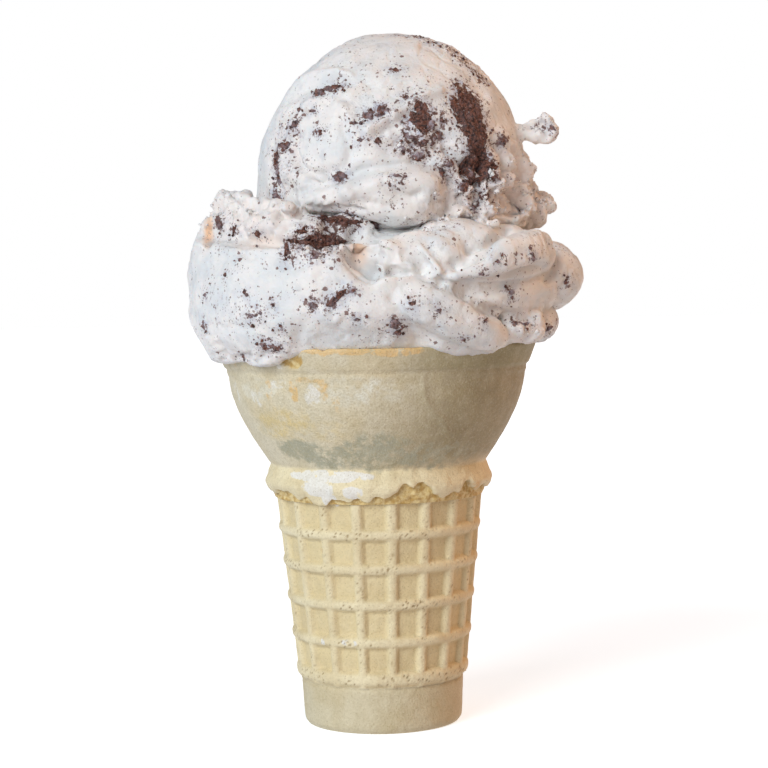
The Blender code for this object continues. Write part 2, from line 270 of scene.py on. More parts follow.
def melted(shapes, voxel):
    """The common skin of overlapping closed shapes: they are joined and remeshed into cubes `voxel`
    mm wide, whose outer faces are shrunk onto the shapes."""
    mesh = new_mesh("melt", *joined(shapes))
    heap = bpy.data.objects.new("melt", mesh)
    bpy.context.scene.collection.objects.link(heap)
    remesh = heap.modifiers.new("melt", "REMESH")
    remesh.mode = "VOXEL"
    remesh.voxel_size = voxel
    remesh.adaptivity = 0.0
    skin = heap.evaluated_get(bpy.context.evaluated_depsgraph_get()).to_mesh()
    points = np.empty(len(skin.vertices) * 3, np.float32)
    skin.vertices.foreach_get("co", points)
    quads = np.empty(len(skin.polygons) * 4, np.int32)
    skin.loops.foreach_get("vertex_index", quads)
    bpy.data.objects.remove(heap)
    bpy.data.meshes.remove(mesh)
    return points.reshape(-1, 3).astype(float), quads.reshape(-1, 4).astype(int)


# %% [markdown]
# ## Helpers for materials
#
# Food is never one colour, so each finish is a small network of nodes over the place on the object. All
# patterns read Object coordinates, which are metres here, so a pattern with grains of half a millimetre has
# a scale of one over half a millimetre. Marks are numbers kept on the points of a mesh, such as how rough
# the cream is there, and let a material follow the shape.

# %% Colours and nodes
def linear(colour):
    """An sRGB hex colour as linear light: c / 12.92 below 0.04045, else ((c + 0.055) / 1.055)^2.4."""
    shares = [int(colour[at : at + 2], 16) / 255.0 for at in (1, 3, 5)]
    return (*[c / 12.92 if c < 0.04045 else ((c + 0.055) / 1.055) ** 2.4 for c in shares], 1.0)


def add(tree, kind, links=None, **settings):
    """A node with its settings, and with a value or another node's output on each socket named."""
    node = tree.nodes.new("ShaderNode" + kind)
    for name, value in settings.items():
        setattr(node, name, value)
    for socket, value in (links or {}).items():
        if isinstance(value, bpy.types.NodeSocket):
            tree.links.new(value, node.inputs[socket])
        else:
            node.inputs[socket].default_value = value
    return node


def new_material(name, roughness, ior):
    """A material with its Principled shader, and the place on the object in metres."""
    made = bpy.data.materials.new(name)
    made.use_nodes = True
    tree = made.node_tree
    shader = tree.nodes["Principled BSDF"]
    shader.inputs["Roughness"].default_value = roughness
    shader.inputs["IOR"].default_value = ior
    return made, tree, shader, add(tree, "TexCoord").outputs["Object"]


def mark(tree, name):
    """A mark from the mesh's points, as a number."""
    return add(tree, "Attribute", attribute_name=name).outputs["Fac"]


def painted(tree, under, over, share):
    """One colour over another, by a share from 0 to 1."""
    return add(tree, "Mix", {0: share, 6: under, 7: over}, data_type="RGBA").outputs[2]


def grains(tree, place, size, share, softness=0.1):
    """1 inside dark grains about `size` mm wide and 0 between them. Space is bent by noise and cut in
    Voronoi cells twice as wide as a grain. A cell whose random number is under `share` holds a grain, and
    a point is in it where its distance to the cell's own point is under a quarter of the cell."""
    wander = add(tree, "TexNoise", {"Vector": place, "Scale": 1.2 / (size * MM), "Detail": 2.0})
    bent = add(
        tree, "VectorMath", {0: wander.outputs["Color"], 1: (1.1 * size * MM,) * 3, 2: place},
        operation="MULTIPLY_ADD",
    )
    cells = add(tree, "TexVoronoi", {"Vector": bent.outputs[0], "Scale": 0.5 / (size * MM)})
    lot = add(tree, "SeparateXYZ", {0: cells.outputs["Color"]}).outputs["X"]
    chosen = add(tree, "Math", {0: lot, 1: share}, operation="LESS_THAN").outputs[0]
    inside = {"Value": cells.outputs["Distance"], "From Min": 0.28 + softness, "From Max": 0.28}
    inside = add(tree, "MapRange", inside, interpolation_type="SMOOTHSTEP").outputs["Result"]
    return add(tree, "Math", {0: inside, 1: chosen}, operation="MULTIPLY").outputs[0]


def patches(tree, place, size, low, high, detail=3.0):
    """Cloudy patches about `size` mm wide: noise, eased from 0 at `low` to 1 at `high`."""
    cloud = add(tree, "TexNoise", {"Vector": place, "Scale": 1.0 / (size * MM), "Detail": detail})
    share = {"Value": cloud.outputs["Fac"], "From Min": low, "From Max": high}
    return add(tree, "MapRange", share, interpolation_type="SMOOTHSTEP").outputs["Result"]


def bumps(tree, place, layers):
    """Fine relief for a shader: noise layers, each a size and a height in mm, one Bump node on another."""
    normal = None
    for size, height in layers:
        noise = add(tree, "TexNoise", {"Vector": place, "Scale": 1.0 / (size * MM), "Detail": 2.0})
        links = {"Height": noise.outputs["Fac"], "Distance": height * MM}
        if normal:
            links["Normal"] = normal
        normal = add(tree, "Bump", links).outputs["Normal"]
    return normal


# %% [markdown]
# ## The lower scoop
#
# The lower scoop was pressed into the cup and smeared over its rim. Four things make it: a core that
# fills the mouth of the cup and carries the scoop above, a wall that was spread round the
# outside with a paddle and ends in an uneven top edge, the folds that lie on the front and the
# right, and lumps that broke off along the crest. Tables by compass bearing hold the sizes that
# change round the scoop, because that is how an uneven ring is described most simply.

# %% Sizes of the wafer that the cream touches
RIM_RADIUS = 33.6
MOUTH_RADIUS = 31.8
NECK = (54.9, 22.6)
BOWL_TOP = (73.3, 31.1)


def bowl_radius(height):
    """The bowl's outside in mm: from neck to top it swells by a quarter sine with a little straight
    taper, and above that it flares in a straight line to the rim."""
    share = np.clip((height - NECK[0]) / (BOWL_TOP[0] - NECK[0]), 0.0, 1.0)
    swell = NECK[1] + (BOWL_TOP[1] - NECK[1]) * (0.8 * np.sin(share * math.pi / 2) + 0.2 * share)
    flare = np.clip((height - BOWL_TOP[0]) / (WAFER_HEIGHT - BOWL_TOP[0]), 0.0, 1.0)
    return swell + (RIM_RADIUS - BOWL_TOP[1]) * flare


# %% The core
CORE_REACH = (
    (-180, 36.4), (-150, 36.4), (-125, 36.0), (-104, 34.6), (-92, 33.4), (-78, 34.2), (-60, 34.6),
    (-40, 35.6), (-20, 37.0), (0, 38.4), (30, 38.0), (70, 36.6), (110, 36.2), (150, 36.4),
)
CREST_HEIGHT = (
    (-180, 111.6), (-155, 110.6), (-135, 109.0), (-118, 107.0), (-111, 106.2), (-105, 102.4), (-90, 101.6), (-75, 102.0),
    (-55, 103.5), (-30, 103.0), (-8, 101.6), (20, 101.0), (60, 103.5), (100, 106.0), (140, 109.0),
)
CREST_RADIUS = (
    (-180, 29.6), (-135, 30.6), (-110, 31.2), (-92, 29.6), (-70, 30.5), (-30, 32.0), (0, 33.0), (60, 31.5),
    (120, 30.5),
)
UNDER_DOME = 103.6  # height of the core's middle, where the upper scoop lies on it


def core():
    """Rings from inside the cup's mouth, up past the rim, out to the widest line, in over the crest
    and down to the flat middle, with a smooth curve through them."""
    azimuths = np.arange(-180.0, 180.0, 2.0)
    turn = np.radians(azimuths)
    reach, crest = around(azimuths, CORE_REACH), around(azimuths, CREST_HEIGHT)
    rim = around(azimuths, CREST_RADIUS)
    keys = [
        (18.0, 68.0), (26.0, 68.6), (29.6, 74.0), (MOUTH_RADIUS - 0.6, 79.0), (MOUTH_RADIUS, 80.6),
        (reach - 2.6, 83.0), (reach - 0.6, 87.5), (reach, 92.0), (reach - 0.8, 96.5),
        (0.45 * reach + 0.55 * rim + 1.0, 0.5 * crest + 49.8), (rim + 1.0, crest - 1.2), (rim - 1.2, crest),
        (rim - 4.0, 0.6 * crest + 0.4 * UNDER_DOME), (rim - 8.0, UNDER_DOME), (12.0, UNDER_DOME),
    ]
    flat = np.ones(len(azimuths))
    keys = np.array([np.stack([radius * flat, height * flat], axis=-1) for radius, height in keys])
    rings = along(keys, 90)
    radius, height = rings[..., 0], rings[..., 1]
    return closed_surface(np.stack([radius * np.cos(turn), radius * np.sin(turn), height], axis=-1))


# %% The wall that was spread round it
WALL_TOP = (
    (-180, 105.4), (-169, 107.6), (-159, 107.0), (-153, 103.0), (-148, 100.6), (-128, 99.8), (-108, 100.6),
    (-102, 99.6), (-96, 95.6), (-90, 93.6), (-72, 93.2), (-66, 91.4), (-57, 87.4), (-48, 84.4), (-40, 82.0), (-30, 81.0),
    (0, 81.5), (20, 84.0), (42, 91.0), (64, 95.5), (92, 97.0), (120, 99.4), (145, 101.8), (165, 103.4),
)
WALL_FOOT = (
    (-180, 77.4), (-150, 76.8), (-129, 76.2), (-125, 76.9), (-121, 78.2), (-117, 79.0), (-78, 79.0), (-71, 79.2), (-60, 77.9),
    (-45, 77.6), (-38, 78.4), (-20, 79.2), (0, 79.4), (45, 78.0), (90, 77.4), (130, 78.4), (160, 77.0),
)
WALL_REACH = (
    (-180, 38.8), (-165, 39.2), (-150, 39.0), (-135, 39.2), (-115, 39.0), (-98, 38.6), (-85, 38.7), (-72, 38.3),
    (-60, 37.4), (-46, 36.6), (-34, 35.6), (0, 35.6), (30, 37.4), (60, 38.7), (100, 38.5), (140, 38.0),
)
WALL_THICKNESS = 5.6
WALL_LEAN = (  # how far the wall's foot tucks in under its middle
    (-180, 2.6), (-122, 2.6), (-112, 5.2), (-76, 5.2), (-68, 3.0), (-40, 2.6), (120, 2.6),
)


def wall():
    """A ring whose section is a tall rounded box, |d|^3 + |h|^3 = 1, that leans out as it rises and
    runs all the way round between the foot and top tables."""
    azimuths = np.arange(-180.0, 180.0, 1.5)
    turn = np.radians(azimuths)[:, None]
    top, foot = around(azimuths, WALL_TOP)[:, None], around(azimuths, WALL_FOOT)[:, None]
    reach = around(azimuths, WALL_REACH)[:, None]
    angle = np.linspace(0.0, 2 * math.pi, 56, endpoint=False)[None, :]
    power = 2.0 / 3.0
    d = np.sign(np.cos(angle)) * np.abs(np.cos(angle)) ** power
    h = np.sign(np.sin(angle)) * np.abs(np.sin(angle)) ** power
    height = (top + foot) / 2 + h * (top - foot) / 2
    tuck = around(azimuths, WALL_LEAN)[:, None] * (1.0 - eased((height - foot) / 9.0))
    tuck = tuck + 0.9 * eased((height - 95.0) / 8.0) + 2.2 * eased((height - 100.5) / 8.0)
    radius = reach - WALL_THICKNESS / 2 + d * WALL_THICKNESS / 2 - tuck
    rings = np.stack([radius * np.cos(turn), radius * np.sin(turn), height], axis=-1)
    index = np.arange(rings.shape[0] * rings.shape[1]).reshape(rings.shape[:2])
    quads = np.stack(
        [index, np.roll(index, -1, axis=0), np.roll(index, (-1, -1), axis=(0, 1)), np.roll(index, -1, axis=1)], axis=-1
    ).reshape(-1, 4)
    return rings.reshape(-1, 3), quads, np.empty((0, 3), int)


# %% The folds on it
def lower_folds():
    """The rolls and lobes of the lower scoop, each placed by a few points on its path."""
    finger = [
        (12.6, -36.4, 92.4, 1.3, 1.4), (17.2, -34.6, 93.6, 3.0, 2.6), (22.8, -32.1, 95.3, 4.2, 3.6),
        (28.2, -27.0, 97.0, 4.8, 4.4), (31.6, -20.6, 98.0, 4.6, 4.6), (33.9, -14.6, 98.4, 3.6, 4.0),
    ]
    spoon_rim = [
        (13.2, -36.6, 92.8, 0.9, 1.0), (12.0, -36.2, 95.2, 0.8, 0.9), (10.4, -35.2, 97.6, 0.8, 0.9),
        (8.0, -33.8, 100.2, 0.9, 0.9), (5.6, -32.6, 102.0, 0.8, 0.8),
    ]
    front_roll = [
        (2.0, -36.8, 89.4, 2.2, 1.8), (8.6, -36.4, 88.4, 4.4, 3.0), (14.6, -34.0, 86.2, 4.8, 3.8),
        (20.0, -30.6, 83.2, 4.0, 3.6), (25.6, -25.8, 80.8, 2.4, 2.6),
    ]
    under_finger = [
        (15.4, -32.8, 91.0, 1.6, 1.8), (19.8, -30.2, 90.0, 3.2, 3.0), (25.6, -25.3, 89.7, 4.2, 4.0),
        (31.5, -17.9, 90.3, 4.4, 4.0), (36.2, -10.0, 91.4, 3.6, 3.4),
    ]
    back_roll = [
        (34.0, 14.0, 95.4, 2.6, 2.6), (29.0, 24.0, 97.6, 4.2, 3.8), (17.0, 33.0, 99.6, 4.6, 4.2),
        (2.0, 36.0, 98.6, 4.2, 3.8), (-12.0, 34.0, 96.4, 2.4, 2.6),
    ]
    back_sheet = [
        (-8.0, 36.0, 88.4, 2.8, 1.6), (-20.0, 32.0, 90.6, 5.0, 2.4), (-30.0, 22.0, 93.0, 5.4, 2.6),
        (-36.0, 8.0, 95.0, 3.4, 1.8),
    ]
    rolls = [finger, spoon_rim, front_roll, under_finger, back_roll, back_sheet]
    lobes = lumps([(35.6, -2.0, 93.2)], (7.6, 16.0, 7.4))  # the broad lobe on the right
    lobes += lumps([(33.0, -9.4, 83.8)], (4.7, 8.0, 4.0))  # a smaller one hanging below it
    lobes += lumps([(16.4, -22.6, 99.6)], (11.0, 9.4, 5.9), tilt=8.0)  # the mound behind the finger
    lobes += lumps([(13.4, -29.8, 97.8)], (5.6, 6.2, 5.0), tilt=30.0)  # its slope, down to the spoon's hollow
    lobes += lumps([(27.2, -15.6, 99.6)], (6.4, 8.0, 4.0), tilt=20.0)
    lobes += lumps([(6.4, -31.9, 97.2)], (7.6, 3.2, 5.4), tilt=-20.0)  # the hollow's floor, and clots lying in it
    in_hollow = ((3.2, -34.2, 99.4), (5.4, -34.8, 96.2), (1.2, -35.2, 95.6), (11.6, -35.0, 94.3))
    lobes += lumps(in_hollow, ((3.2, 1.9, 1.9), (3.6, 1.7, 1.5), (1.9, 1.6, 1.5), (2.0, 1.6, 1.6)), tilt=24.0)
    lobes += lumps([(27.0, -24.2, 86.6)], (3.6, 2.8, 2.4), tilt=-20.0)
    lobes += lumps([(-5.4, -25.8, 103.6)], (6.4, 2.6, 2.9), tilt=8.0)  # under the big crumb in the seam
    low_folds = ((27.4, -25.0, 82.8), (30.0, -21.8, 82.0), (32.6, -17.6, 82.6), (28.0, -20.4, 83.4))
    lobes += lumps(low_folds, ((2.9, 2.6, 2.5), (2.9, 2.8, 2.1), (2.9, 3.0, 2.3), (5.6, 5.6, 3.6)), tilt=-20.0)
    lobes += lumps([(20.0, 30.0, 87.0), (-2.0, 35.4, 84.0), (33.0, 12.0, 86.0)], ((6.0,), (4.6,), (5.4,)))
    return [roll(keys) for keys in rolls] + lobes


# %% The crumbled crest
def scattered_on_ring(count, start, stop, radius, height, seed):
    """Places between two bearings: the radius and height tables give the line, and they stray from
    it by up to a couple of millimetres."""
    random = np.random.default_rng(seed)
    azimuths = random.uniform(start, stop, count)
    out = around(azimuths, radius) + random.uniform(-1.6, 2.4, count)
    up = around(azimuths, height) + random.uniform(-3.0, 0.4, count)
    turn = np.radians(azimuths)
    return np.stack([out * np.cos(turn), out * np.sin(turn), up], axis=-1), random


def crest_lumps():
    """Round lumps of 1 to 2.4 mm along the broken crest on the left and round the back."""
    front, random = scattered_on_ring(40, -190.0, -110.0, CREST_RADIUS, CREST_HEIGHT, 11)
    back, _ = scattered_on_ring(40, 60.0, 170.0, CREST_RADIUS, CREST_HEIGHT, 12)
    centres = np.vstack([front, back])
    return lumps(centres, random.uniform(0.8, 2.2, (len(centres), 3)))


lower_skin = melted([core(), wall(), *lower_folds(), *crest_lumps()], 0.50)
print(f"the lower scoop's skin has {len(lower_skin[1])} squares")


# %% [markdown]
# ## The upper scoop
#
# A spoon-shaped disher left this one as a dome. Where it was torn from the tub its foot is
# ragged, a lip of softer cream is folded over the front, and the scoop's edge flicked out a curl on the right.

# %% The dome
DOME_CENTRE = np.array([4.3, 0.0, 111.3])
DOME_RADIUS = 28.5
DOME_RISE = 32.9
DOME_FOOT = (
    (-180, 27.4), (-150, 27.6), (-128, 25.6), (-112, 24.4), (-92, 24.8), (-74, 26.6), (-50, 27.6), (-20, 28.4),
    (0, 29.2), (40, 27.4), (90, 27.0), (140, 26.6),
)


def dome():
    """Rings of the scoop about its own middle: from a flat underside out to the foot table, up the
    side, and then over an ellipsoid, r = R sqrt(1 - h^2)."""
    azimuths = np.arange(-180.0, 180.0, 2.5)
    turn = np.radians(azimuths)
    foot = around(azimuths, DOME_FOOT)
    flat = np.ones(len(azimuths))
    under = UNDER_DOME - 0.6
    keys = [(10.0, under), (foot - 3.0, under), (foot, under + 1.6), (0.5 * (foot + DOME_RADIUS), under + 4.4)]
    keys += [(DOME_RADIUS, DOME_CENTRE[2] - 0.6)]
    for rise in np.sin(np.radians([8, 20, 32, 44, 56, 68, 78, 86])):
        keys.append((DOME_RADIUS * math.sqrt(1.0 - rise * rise), DOME_CENTRE[2] + DOME_RISE * rise))
    keys = np.array([np.stack([radius * flat, height * flat], axis=-1) for radius, height in keys])
    rings = along(keys, 80)
    x = DOME_CENTRE[0] + rings[..., 0] * np.cos(turn)
    y = DOME_CENTRE[1] + rings[..., 0] * np.sin(turn)
    return closed_surface(np.stack([x, y, rings[..., 1]], axis=-1))


# %% Its lip, curl and torn foot
def upper_folds():
    """The folded lip in front, the curl on the right, and folds at the back."""
    lip = [
        (-15.6, -19.6, 111.2, 2.6, 2.4), (-11.6, -22.4, 110.9, 3.6, 3.2), (-5.0, -25.6, 110.0, 4.2, 3.6),
        (1.8, -26.8, 108.6, 4.4, 3.6), (7.6, -26.6, 107.6, 4.2, 3.4), (11.6, -25.4, 108.6, 3.4, 3.0),
    ]
    tongue = [
        (-8.6, -25.2, 110.6, 1.4, 1.4), (-2.4, -27.2, 111.0, 2.6, 2.4), (3.6, -27.6, 111.6, 3.3, 2.9),
        (9.4, -26.8, 111.0, 4.2, 3.1), (12.6, -25.4, 109.2, 3.6, 2.8),
    ]
    curl = [
        (28.0, -5.4, 122.6, 2.6, 2.6), (31.0, -5.8, 122.5, 1.5, 1.6), (34.0, -6.4, 121.5, 1.1, 1.6),
        (36.4, -6.6, 121.6, 1.2, 1.4), (37.2, -6.0, 123.4, 1.1, 1.2), (36.2, -5.4, 125.6, 1.1, 1.2),
        (34.2, -5.2, 126.0, 0.8, 1.0),
    ]
    web = [
        (30.0, -5.0, 123.6, 1.2, 1.4), (32.4, -4.8, 124.4, 1.0, 1.0), (34.4, -4.8, 125.2, 1.0, 0.9),
    ]
    back_fold = [
        (-18.0, 17.0, 110.0, 1.8, 1.4), (-8.0, 24.6, 111.0, 3.0, 2.2), (6.0, 28.2, 109.4, 3.6, 2.4),
        (20.0, 22.4, 108.4, 2.6, 2.0),
    ]
    return [roll(keys) for keys in (lip, tongue, curl, web, back_fold)] + lumps([(35.0, -4.7, 123.7)], (2.4, 0.9, 2.3))


def foot_lumps():
    """Lumps of 1 to 3 mm where the scoop was torn, thickest low on the right, and the larger
    crumbling lump there."""
    random = np.random.default_rng(21)
    azimuths = np.concatenate([random.uniform(-70.0, 30.0, 28), random.uniform(30.0, 250.0, 30)])
    turn = np.radians(azimuths)
    out = DOME_RADIUS - 0.6 + random.uniform(-0.8, 1.0, len(turn))
    up = UNDER_DOME + random.uniform(0.0, 1.0, len(turn)) ** 1.5 * np.where(azimuths < 30.0, 11.0, 5.0)
    centres = np.stack([DOME_CENTRE[0] + out * np.cos(turn), out * np.sin(turn), up], axis=-1)
    small = lumps(centres, random.uniform(1.0, 2.8, (len(turn), 3)))
    knob = np.array([33.6, -2.0, 107.0]) + random.normal(0.0, 1.0, (16, 3)) * [1.1, 2.6, 2.2]
    return small + lumps(knob, random.uniform(1.2, 2.4, (16, 3)))


upper_skin = melted([dome(), *upper_folds(), *foot_lumps()], 0.44)
print(f"the upper scoop's skin has {len(upper_skin[1])} squares")


# %% [markdown]
# ## Relief on the cream
#
# A disher polishes the cream where it slides and tears it where it lets go. The polished places
# have long shallow waves, and the torn ones are made of clumps from one to three millimetres wide. Where
# each kind lies is given by soft balls, and single strokes of the tool are ridges and creases along
# short paths. Strokes on the front are given as seen from there, by x and z, so that they find the
# surface by themselves.

# %% Soft balls and strokes
def nearness(points, places):
    """How near each point is to the soft balls in a table: a row holds a centre, three half sizes
    and a strength, and gives strength * exp(-d^4) at d half sizes from the centre. The highest counts."""
    total = np.zeros(len(points))
    for *centre, wide, deep, high, strength in places:
        away = (((points - centre) / (wide, deep, high)) ** 2).sum(axis=1)
        total = np.maximum(total, strength * np.exp(-(away**2)))
    return total


def strokes(points, facing, rows):
    """Ridges and creases on the front: a row holds a height, a half width and a path of x and z, and
    gives height * exp(-(d / w)^2) at a distance d from the path, fading where the surface turns away."""
    total = np.zeros(len(points))
    for height, half_width, keys in rows:
        path = along(keys, 70)
        low, high = path.min(axis=0) - 3 * half_width, path.max(axis=0) + 3 * half_width
        flat = points[:, [0, 2]]
        near = np.flatnonzero(((flat > low) & (flat < high)).all(axis=1) & (facing > 0.0))
        away = np.linalg.norm(flat[near, None] - path[None], axis=2).min(axis=1)
        total[near] += height * hump(away, half_width) * eased(facing[near] / 0.5)
    return total


# %% Where the lower scoop is torn, and its strokes
LOWER_ROUGH = (
    (-25, -22, 105.5, 13, 16, 4.6, 1.0), (-31, -6, 107.0, 9, 16, 4.6, 0.9),  # the crest on the left
    (-12, -33, 101.5, 8, 6, 4.2, 1.0),  # round the big crumb of cookie
    (4.5, -35, 98.2, 6, 6, 3.2, 0.22),  # the hollow that the spoon left
    (-26, -26, 78.5, 10, 12, 2.4, 0.5), (29.5, -22, 81.6, 5, 7, 3.0, 0.45),  # the lower edge
    (-10, 28, 107.0, 26, 12, 5.0, 0.9), (30, 12, 101.0, 10, 14, 4.0, 0.6), (22, 28, 84.0, 10, 9, 4.0, 0.5),
    (-36, 12, 84.0, 7, 12, 4.0, 0.5),
)
LOWER_STROKES = (
    (0.7, 1.1, ((-37.0, 101.0), (-29.0, 100.4), (-22.5, 99.7), (-17.4, 99.0))),  # the ledge on the left
    (-0.9, 0.9, ((-36.0, 103.4), (-29.0, 102.0), (-22.5, 101.0), (-18.0, 100.6))),
    (-3.0, 0.8, ((-34.2, 108.4), (-34.0, 105.0), (-33.6, 101.4))),  # a slit
    (-2.4, 1.5, ((-3.8, 102.6), (-3.4, 99.2), (-2.9, 96.4), (-0.6, 94.2))),  # the notch
    (-0.8, 0.9, ((3.2, 89.6), (4.7, 87.8), (6.3, 84.4), (7.9, 81.1))),  # two creases of the front
    (0.5, 1.3, ((-13.6, 82.3), (-11.7, 85.9), (-7.1, 89.9), (-4.0, 92.0), (3.0, 92.8), (10.0, 92.0))),
    (-0.6, 1.6, ((-15.0, 80.6), (-13.6, 84.3), (-10.0, 88.0), (-6.0, 90.0))),
    (-0.5, 1.4, ((-37.6, 95.0), (-30.0, 96.6), (-22.0, 95.6), (-14.0, 96.6))),
    (-0.4, 1.2, ((-36.0, 86.0), (-30.0, 84.0), (-24.0, 84.6), (-18.0, 82.4))),
    (-1.5, 1.1, ((13.0, 92.6), (16.0, 91.2), (19.2, 89.3), (21.4, 87.1), (26.3, 85.5), (30.8, 84.9))),
    (-2.3, 1.3, ((17.4, 91.8), (22.4, 91.6), (27.0, 92.8), (33.0, 94.6))),
    (0.8, 0.6, ((0.6, 92.7), (5.8, 92.8), (9.6, 93.4), (12.4, 94.4), (11.0, 96.8), (9.2, 99.2))),
    (-1.8, 0.9, ((26.4, 102.4), (23.0, 100.4), (21.6, 98.6), (18.6, 97.0), (15.4, 95.8))),
    (0.5, 1.4, ((17.0, 103.6), (22.0, 102.0), (27.0, 99.6))),
    (-0.35, 0.7, ((26.0, 88.6), (30.0, 88.0), (34.6, 89.4))),  # wrinkles under the right fold
    (-0.35, 0.6, ((24.0, 87.4), (29.0, 86.6), (34.0, 87.6))),
    (-1.4, 0.9, ((34.4, 101.4), (36.2, 98.4), (36.2, 95.2), (34.6, 92.4))),
    (-0.5, 1.0, ((6.0, 91.0), (12.0, 89.0), (17.4, 85.6))),
    (-0.4, 0.9, ((-35.0, 98.6), (-31.0, 98.2), (-27.0, 98.8), (-24.0, 98.0))),
    (-0.5, 1.0, ((9.0, 103.6), (14.0, 101.6), (18.0, 98.8), (20.6, 97.2))),
)

# %% Where the upper scoop is torn, and its strokes
UPPER_ROUGH = (
    (22, -20, 110.0, 11, 12, 7.0, 1.0), (30, -8, 110.0, 8, 14, 9.0, 1.0), (27, -14, 117.0, 6, 10, 6.0, 0.6),
    (9.2, -27, 119.6, 6.6, 6, 3.6, 0.9),  # the crater
    (-17.5, -16, 119.0, 5.0, 9, 13, 0.55), (-10, -20, 129.0, 8, 8, 5.0, 0.35), (-12, -20, 114, 7, 8, 4.0, 0.35), (-8, -27, 109.5, 8, 6, 2.6, 0.3),
    (4.0, -26, 122.0, 5, 6, 6.0, 0.35),
    (36, -5, 123.6, 4, 4, 4, 0.6),
    (6, 26, 107.0, 26, 10, 4.6, 0.9), (-20, 8, 108.0, 10, 14, 4.0, 0.8), (20, 20, 118.0, 8, 8, 6.0, 0.7),
)
UPPER_STROKES = (
    (-1.5, 4.0, ((5.4, 120.6), (9.2, 119.8), (12.6, 119.6))),  # the crater, and the scrape above it
    (0.9, 0.9, ((-0.6, 122.8), (3.0, 124.8), (6.4, 126.8), (9.8, 128.8), (13.6, 130.2))),
    (-0.7, 1.1, ((0.6, 121.6), (4.4, 123.9), (7.8, 125.6))),
    (0.4, 0.9, ((-2.2, 131.7), (-3.6, 129.8), (-5.0, 127.9))),
    (-0.7, 0.8, ((2.0, 111.6), (4.6, 109.8), (6.6, 109.2), (8.8, 109.8))),  # between lip and tongue
    (-1.0, 0.8, ((-15.4, 110.9), (-9.3, 112.3), (-4.9, 113.9), (-2.1, 115.0), (2.8, 115.7), (7.9, 116.3), (11.6, 116.2),
                 (14.4, 114.8))),  # round the top of the lip
    (0.7, 1.9, ((-12.4, 109.2), (-6.6, 109.8), (-1.0, 111.6), (5.0, 112.8), (10.6, 112.4))),
    (-1.5, 1.0, ((15.0, 114.0), (15.8, 111.0), (15.0, 107.8), (13.8, 104.8))),  # where its end hangs free
    (-0.5, 0.7, ((-13.0, 107.9), (-7.0, 107.2), (-2.0, 106.6))),
    (-0.4, 0.8, ((-3.0, 109.4), (0.6, 108.0), (4.0, 107.6))),
    (1.0, 4.2, ((-11.0, 122.4), (-9.4, 119.4))),  # a polished bulge on the left, and the crease round it
    (-1.8, 0.7, ((-13.4, 127.0), (-15.6, 124.4), (-15.8, 119.4), (-14.2, 115.8), (-10.0, 114.2))),
    (-0.6, 1.0, ((-10.0, 114.2), (-5.4, 115.8), (-4.6, 119.4), (-5.8, 124.0))),
    (-1.8, 0.8, ((15.6, 118.6), (18.4, 116.0), (19.0, 112.6), (17.4, 108.6))),  # cracks between torn clumps
    (-1.6, 0.7, ((19.6, 116.4), (23.6, 114.6), (27.6, 114.8), (31.0, 113.0))),
    (-1.5, 0.7, ((20.0, 110.6), (24.0, 109.4), (28.6, 110.4), (31.6, 108.4))),
    (-1.3, 0.7, ((24.0, 120.4), (26.6, 117.4), (26.0, 113.0), (27.4, 107.6))),
    (-2.0, 0.6, ((16.0, 113.0), (18.6, 111.8), (21.6, 112.4))),
    (-2.0, 0.7, ((21.0, 118.6), (22.4, 116.6), (22.0, 114.2), (23.6, 112.6))),
    (-2.0, 0.6, ((24.6, 107.4), (27.0, 105.8), (30.4, 106.4))),
    (-1.8, 0.8, ((28.6, 119.0), (30.0, 115.6), (29.4, 111.4), (30.6, 107.4))),
    (1.2, 1.1, ((21.4, 113.0), (25.0, 111.9))),
    (1.3, 1.0, ((16.6, 106.4), (20.0, 105.4), (24.0, 106.8))),
    (0.8, 0.7, ((-19.6, 131.4), (-14.0, 134.4), (-8.4, 135.2), (-4.0, 133.8))),
    (-0.9, 0.8, ((-18.2, 129.8), (-13.0, 132.4), (-8.0, 133.0))),
    (0.5, 0.8, ((-13.4, 128.8), (-9.0, 129.4), (-6.0, 127.6), (-4.0, 124.8))),
    (-0.5, 1.4, ((-18.6, 128.4), (-13.0, 131.0), (-7.0, 132.6), (0.0, 131.4))),
    (-0.5, 1.5, ((-15.0, 122.0), (-12.0, 118.0), (-11.0, 114.6))),
    (-0.4, 1.0, ((10.6, 140.2), (15.4, 137.8), (19.4, 134.4), (22.6, 130.0))),
    (-0.6, 0.8, ((-21.0, 124.0), (-19.6, 119.0), (-18.8, 113.0), (-18.4, 108.0))),
)

# %% Pushing the relief in
WAVES = ((9.0, 0.46), (4.2, 0.30), (2.0, 0.13), (1.0, 0.06))  # size and height in mm of the polished skin
CREASES = ((6.5, 0.05, 0.3), (3.4, 0.07, 0.24))  # size, half width as a share and depth of its creases
CLUMPS = ((4.2, 1.7, 2.4), (2.1, 1.0, 1.8))  # size and height of the torn clumps, and the ledges in each
CRUMBLE_SIZE, CRUMBLE_HEIGHT = 1.1, 0.8  # the crumble on them
PIT_SIZE, PIT_DEPTH = 2.6, 3.8  # holes between them


def broken(values, ledges):
    """A smooth rise broken into ledges: v * n keeps its whole part, and its rest is eased from 0 to
    1 over the middle 40 % of each ledge."""
    steps = values * ledges
    whole = np.floor(steps)
    return (whole + eased((steps - whole - 0.3) / 0.4)) / ledges


